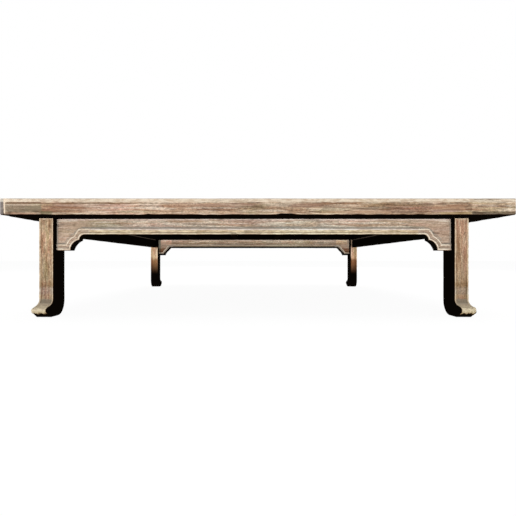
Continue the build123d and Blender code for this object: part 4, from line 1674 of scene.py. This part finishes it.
LONG_APRON_SHADES = [
    ((50, 255), (190, 250), (60, 8), 2, linear(270, 276, 278), 1),
    ((-425, 425), (221.4, 224.8), (6, 1), 0.4, linear(238, 238, 249), 1),
    ((-425, 425), (214.5, 221), (6, 1.5), 0.6, linear(262, 257, 238), 1),
    ((-425, 425), (208, 214), (6, 1), 0.5, linear(240, 238, 226), 1),
    ((-612, 612), (245.5, 251), (1, 2), 1, linear(262, 256, 262), 1)]
LONG_APRON_MARKS = [
    ((-512, -506.5), (160, 252), (1.5, 1), 0.3, JOINT_GREY, 0.38),
    ((506.5, 512), (160, 252), (1.5, 1), 0.3, JOINT_GREY, 0.38)]
BACK_APRON_SHADES = [
    ((-505, 505), (239.5, 244.2), (10, 1.5), 0.8, linear(284, 282, 282), 1),
    ((-470, 470), (228.8, 233.6), (12, 1.5), 0.8, linear(226, 222, 214), 1),
    ((-440, 440), (218, 223), (12, 1.5), 0.8, linear(244, 242, 250), 1),
    ((-500, -440), (226, 252), (6, 5), 1, linear(306, 298, 297), 1),
    ((440, 500), (226, 252), (6, 5), 1, linear(304, 301, 286), 1)]
BACK_APRON_MARKS = [
    ((-513, -498), (178, 252), (2, 3), 0.6, INNER_GREY, 0.8),
    ((500, 506), (180, 252), (2, 3), 0.6, CREAM, 0.4)]
END_APRON_MARKS = [
    ((-612, 612), (245.5, 252), (1, 1.5), 0.4, JOINT_DUST, 0.9)]


def spandrel_tones(tree, place, colour):
    """The spandrels are rosy and mottled, and show less of the long grain."""
    from_middle = calculate(tree, "ABSOLUTE", axes_of(tree, place)["X"])
    aside = threshold(tree, from_middle, ROSY_FROM, ROSY_FULL, 0, 0.56)
    mottle = noise(tree, stretch(tree, place, (0.45, 1, 1)), 240, 4, 0.75)
    tone = blend(tree, threshold(tree, mottle, 0.36, 0.64), SPANDREL_DEEP, SPANDREL_PALE)
    return blend(tree, aside, colour, tone)


long_shades = lay_marks(LONG_APRON_SHADES, "MULTIPLY")
front_extras = (long_shades, lay_marks(LONG_APRON_MARKS, "MIX"))
back_extras = (long_shades, lay_marks(BACK_APRON_SHADES, "MULTIPLY"),
               lay_marks(BACK_APRON_MARKS, "MIX"))
end_extras = (lay_marks(END_APRON_MARKS, "MIX"),)
long_apron_attributes = (black_shade_long_apron, rub_long_apron, grey_stain_and_shade_long_apron)
end_apron_attributes = (black_shade_end_apron, nowhere, nowhere)
for piece, wear_and_painted_light, node, axis, seed, tint, extras in (
        (front_apron, long_apron_attributes, "front_apron", "x", 21, APRON_TINT, front_extras),
        (back_apron, long_apron_attributes, "back_apron", "x", 22, BACK_APRON_PAINTED_LIGHT, back_extras),
        (left_apron, end_apron_attributes, "left_end_apron", "y", 23, APRON_TINT, end_extras),
        (right_apron, end_apron_attributes, "right_end_apron", "y", 24, APRON_TINT, end_extras)):
    wear_group(piece, weigh(piece, "edge", near_apron_edge), ARRIS_WAVES, 1.4 * MM, 0.45, "Z")
    plane_and_dent(piece, 0.6 * MM, 0.2 * MM)
    mark(piece, *wear_and_painted_light)
    stand_in_place(piece)
    tones = (spandrel_tones,) if axis == "x" else ()
    material = wood(f"{node}_wood", axis, seed, bleach=0.7, grey=0.45, dark=0.3, streaks=0.6,
                    tint=tint, tones=tones, extras=extras)
    finish(piece, material, "apron_wood", node)
print("aprons finished")

# %% [markdown]
# ## Wedges, pegs and dowels
#
# The fasteners keep the shapes of the model. Only their wood is new: a dense dark wood for
# the wedges, and bamboo, with its straight fibres, for the pegs, dowels and pins.

# %% Fasteners
def black_shaded_below(tree, place, colour):
    """The lower ends of the pegs are painted black as shade, like the underside."""
    low = threshold(tree, axes_of(tree, place)["Z"], UNDERSIDE + 3 * MM, UNDERSIDE + 1 * MM)
    return blend(tree, low, colour, SHADE_BLACK)


peg_wood = wood("bamboo_peg_wood", "z", 31, bleach=0.3, grey=0.2, cracks=0.0, wear_and_painted_light=0.0,
                tint=linear(226, 208, 178), extras=(black_shaded_below,))
wedge_wood = wood("hard_wedge_wood", "x", 32, bleach=0.1, grey=0.2, cracks=0.3, wear_and_painted_light=0.0,
                  tint=linear(206, 190, 176))
for name, material, slot in (("tenon_wedges", wedge_wood, "wedge_wood"),
                             ("corner_pegs", peg_wood, "peg_bamboo"),
                             ("apron_pegs", peg_wood, "peg_bamboo"),
                             ("apron_dowels", peg_wood, "peg_bamboo"),
                             ("board_pins", peg_wood, "peg_bamboo")):
    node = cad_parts[name]
    node.data.materials.clear()
    node.data.materials.append(material)
print("fasteners finished")

# %% [markdown]
# ## The studio
#
# The table stands on a white light table, as small goods do in a catalogue: the floor
# glows softly, and lifts the sides and the space below the top. The camera sees the floor
# and the room as nearly white, and the floor still takes the faint shadow of the table.

# %% Floor and backdrop
FLOOR_GLOW = 1.25
FLOOR_SEEN = 0.945
FLOOR_PALE = (0.08, 0.08, 0.08, 1)
WHITE = (1, 1, 1, 1)
ROOM_LIGHT = 0.42


def seen_directly(tree):
    """1 for rays that carry the picture, 0 for rays that carry light."""
    path = put(tree, "ShaderNodeLightPath", {})
    share = calculate(tree, "MAXIMUM", path.outputs["Is Camera Ray"], path.outputs["Is Glossy Ray"])
    return calculate(tree, "MAXIMUM", share, path.outputs["Is Transmission Ray"])


deselect_all()
bpy.ops.mesh.primitive_plane_add(size=60, location=(0, 0, 0))
floor = bpy.context.object
floor.name = "studio_floor"
floor_material = bpy.data.materials.new("studio_floor")
floor_material.use_nodes = True
tree = floor_material.node_tree
floor_shader = tree.nodes["Principled BSDF"]
fill(tree, floor_shader, {"Base Color": FLOOR_PALE, "Roughness": 1, "Specular IOR Level": 0})
strength = threshold(tree, seen_directly(tree), 0, 1, FLOOR_GLOW, FLOOR_SEEN)
glow = put(tree, "ShaderNodeEmission", {"Color": WHITE, "Strength": strength})
both = put(tree, "ShaderNodeAddShader", {0: floor_shader.outputs["BSDF"], 1: glow.outputs[0]})
fill(tree, tree.nodes["Material Output"], {"Surface": both.outputs[0]})
floor.data.materials.append(floor_material)

world = bpy.data.worlds.new("studio_room")
bpy.context.scene.world = world
world.use_nodes = True
tree = world.node_tree
room = put(tree, "ShaderNodeBackground", {"Color": (0.97, 0.985, 1.0, 1), "Strength": ROOM_LIGHT})
backdrop = put(tree, "ShaderNodeBackground", {"Color": WHITE, "Strength": 1.0})
shown = put(tree, "ShaderNodeMixShader",
            {0: seen_directly(tree), 1: room.outputs[0], 2: backdrop.outputs[0]})
fill(tree, tree.nodes["World Output"], {"Surface": shown.outputs[0]})
print("room light:", ROOM_LIGHT, "floor glow:", FLOOR_GLOW)

# %% [markdown]
# Large soft lights stand low in front and behind, weaker ones at the ends, and one hangs
# above. The front light is so low that it also reaches in under the table.

# %% Lights
LOW_AIM = (0, 0, 0.18)
TOP_AIM = (0, 0, 0.2)


def soft_light(name, place, toward, width, height, power):
    """A rectangular area light that faces a place."""
    data = bpy.data.lights.new(name, "AREA")
    data.shape = "RECTANGLE"
    data.size = width
    data.size_y = height
    data.energy = power
    light = bpy.data.objects.new(name, data)
    light.location = place
    light.rotation_euler = (Vector(toward) - Vector(place)).to_track_quat("-Z", "Y").to_euler()
    bpy.context.scene.collection.objects.link(light)


soft_light("front_light", (-0.6, -6.5, 0.45), LOW_AIM, 7.4, 0.85, 132)
soft_light("back_light", (0.6, 3.6, 0.5), LOW_AIM, 3.4, 0.8, 45)
soft_light("left_light", (-3.6, -0.2, 0.5), LOW_AIM, 2.4, 0.8, 36)
soft_light("right_light", (3.6, 0.2, 0.5), LOW_AIM, 2.4, 0.8, 36)
soft_light("top_light", (0.0, -0.4, 3.6), TOP_AIM, 3.0, 2.2, 62)
